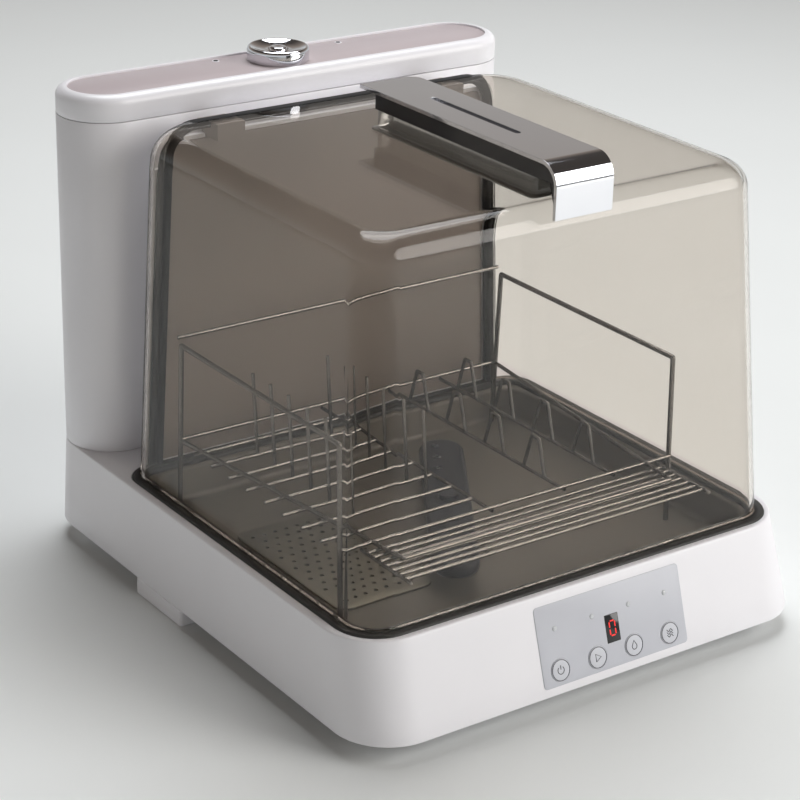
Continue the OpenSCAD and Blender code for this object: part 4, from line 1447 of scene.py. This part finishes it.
@dataclass
class Studio:
    """Pale floor, soft lamps and the camera.

    Attributes:
        floor_colour: Colour of the floor.
        floor_second: Colour the floor drifts to.
        floor_half: Half width of the floor.
        sky: World colour low down.
        sky_middle: World colour half way up.
        sky_high: World colour overhead.
        sky_level: World strength.
        lens: Focal length of the camera.
        eye: Camera place in metres.
        right: Camera direction to the right.
        up: Camera direction upwards.
        ahead: Camera direction ahead.
    """

    floor_colour: str = "#F1F4F3"
    floor_second: str = "#EDF0EF"
    floor_half: float = 6000.0
    sky: str = "#E9EDEE"
    sky_middle: str = "#A3978D"
    sky_high: str = "#4E4945"
    sky_level: float = 0.8
    lens: float = 106.52
    eye: Point = (-0.99187, -1.35905, 0.86217)
    right: Point = (0.81752871, -0.57536991, 0.02441869)
    up: Point = (0.20736557, 0.33366838, 0.91960042)
    ahead: Point = (0.53725815, 0.74673615, -0.39209539)

    def floor(self) -> None:
        """Lay a large pale floor."""
        far = self.floor_half
        square = [(-far, -far), (far, -far), (far, far), (-far, far)]
        shape = Shape().loft([lift(square, z) for z in (-0.2, 0)], start=True, end=True)
        obj = plain_object("floor", shape, True)
        look = Finish(
            "Pale_Studio_Floor", "white_abs", self.floor_colour, self.floor_second,
            tone_mm=300, grain_mm=2, bump_mm=0.02, rough=0.55,
        )
        obj.data.materials.append(look.build())

    def lamp(
        self, name: str, at: Point, aim: Point, size: float, power: float, colour: str
    ) -> None:
        """Hang one soft round lamp.

        Args:
            name: Lamp name.
            at: Its place in metres.
            aim: Where it points.
            size: Diameter.
            power: Power in watts.
            colour: Lamp colour.
        """
        data = bpy.data.lights.new(name, "AREA")
        data.shape = "DISK"
        data.size = size
        data.energy = power
        data.color = linear(colour)[:3]
        obj = bpy.data.objects.new(name, data)
        obj.location = at
        obj.rotation_euler = (Vector(aim) - Vector(at)).to_track_quat("-Z", "Y").to_euler()
        bpy.context.scene.collection.objects.link(obj)

    def lamps(self) -> None:
        """Hang the key lamp at the front right and a softer one behind."""
        self.lamp("key_lamp", (1.9, -2.4, 1.5), (0.0, -0.05, 0.2), 2.4, 74, "#FFFDFB")
        self.lamp("top_lamp", (0.6, 0.8, 2.4), (0.0, 0.1, 0.2), 1.8, 46, "#FAFCFF")

    def world(self) -> None:
        """Set the soft surroundings, darker overhead."""
        world = bpy.data.worlds.new("studio")
        bpy.context.scene.world = world
        world.use_nodes = True
        tree = world.node_tree
        place = add_node(tree, "ShaderNodeTexCoord")
        split = add_node(
            tree, "ShaderNodeSeparateXYZ", links={"Vector": place.outputs["Generated"]})
        ramp = add_node(tree, "ShaderNodeValToRGB", links={"Fac": split.outputs["Z"]})
        stops = ramp.color_ramp.elements
        stops[0].position, stops[0].color = 0.08, linear(self.sky)
        stops[1].position, stops[1].color = 0.65, linear(self.sky_high)
        stops.new(0.36).color = linear(self.sky_middle)
        shade = tree.nodes["Background"]
        tree.links.new(ramp.outputs["Color"], shade.inputs["Color"])
        shade.inputs["Strength"].default_value = self.sky_level

    def camera(self) -> None:
        """Place the camera found from the photo."""
        data = bpy.data.cameras.new("camera")
        data.lens = self.lens
        data.sensor_width = 36.0
        obj = bpy.data.objects.new("camera", data)
        axes = (Vector(self.right), Vector(self.up), -Vector(self.ahead))
        turn = Matrix(axes).transposed().to_4x4()
        obj.matrix_world = Matrix.Translation(self.eye) @ turn
        bpy.context.scene.collection.objects.link(obj)
        bpy.context.scene.camera = obj

    def build(self) -> None:
        """Set up the whole studio."""
        self.floor()
        self.lamps()
        self.world()
        self.camera()
        bpy.context.scene.view_settings.view_transform = "Standard"


def main() -> None:
    """Build every sub-assembly, then the studio."""
    logging.basicConfig(level=logging.INFO, format="%(message)s")
    base = BaseHousing()
    base.shell()
    base.feet()
    tub = WashTub()
    tub.tub()
    tub.seal()
    tub.strainer()
    panel = ControlPanel()
    panel.film()
    panel.display()
    panel.lamps()
    panel.keys()
    column = TankColumn()
    column.shell()
    column.cover()
    column.vents()
    column.cap()
    ChamberBack().shade_sheet()
    hood = Hood()
    hood.shell()
    hood.seal()
    handle = Handle()
    handle.strip()
    handle.mount()
    rack = DishRack()
    rack.frame()
    rack.floor()
    rack.holders()
    SprayArm().build()
    dress_cad()
    Studio().build()


if __name__ == "__main__":
    main()
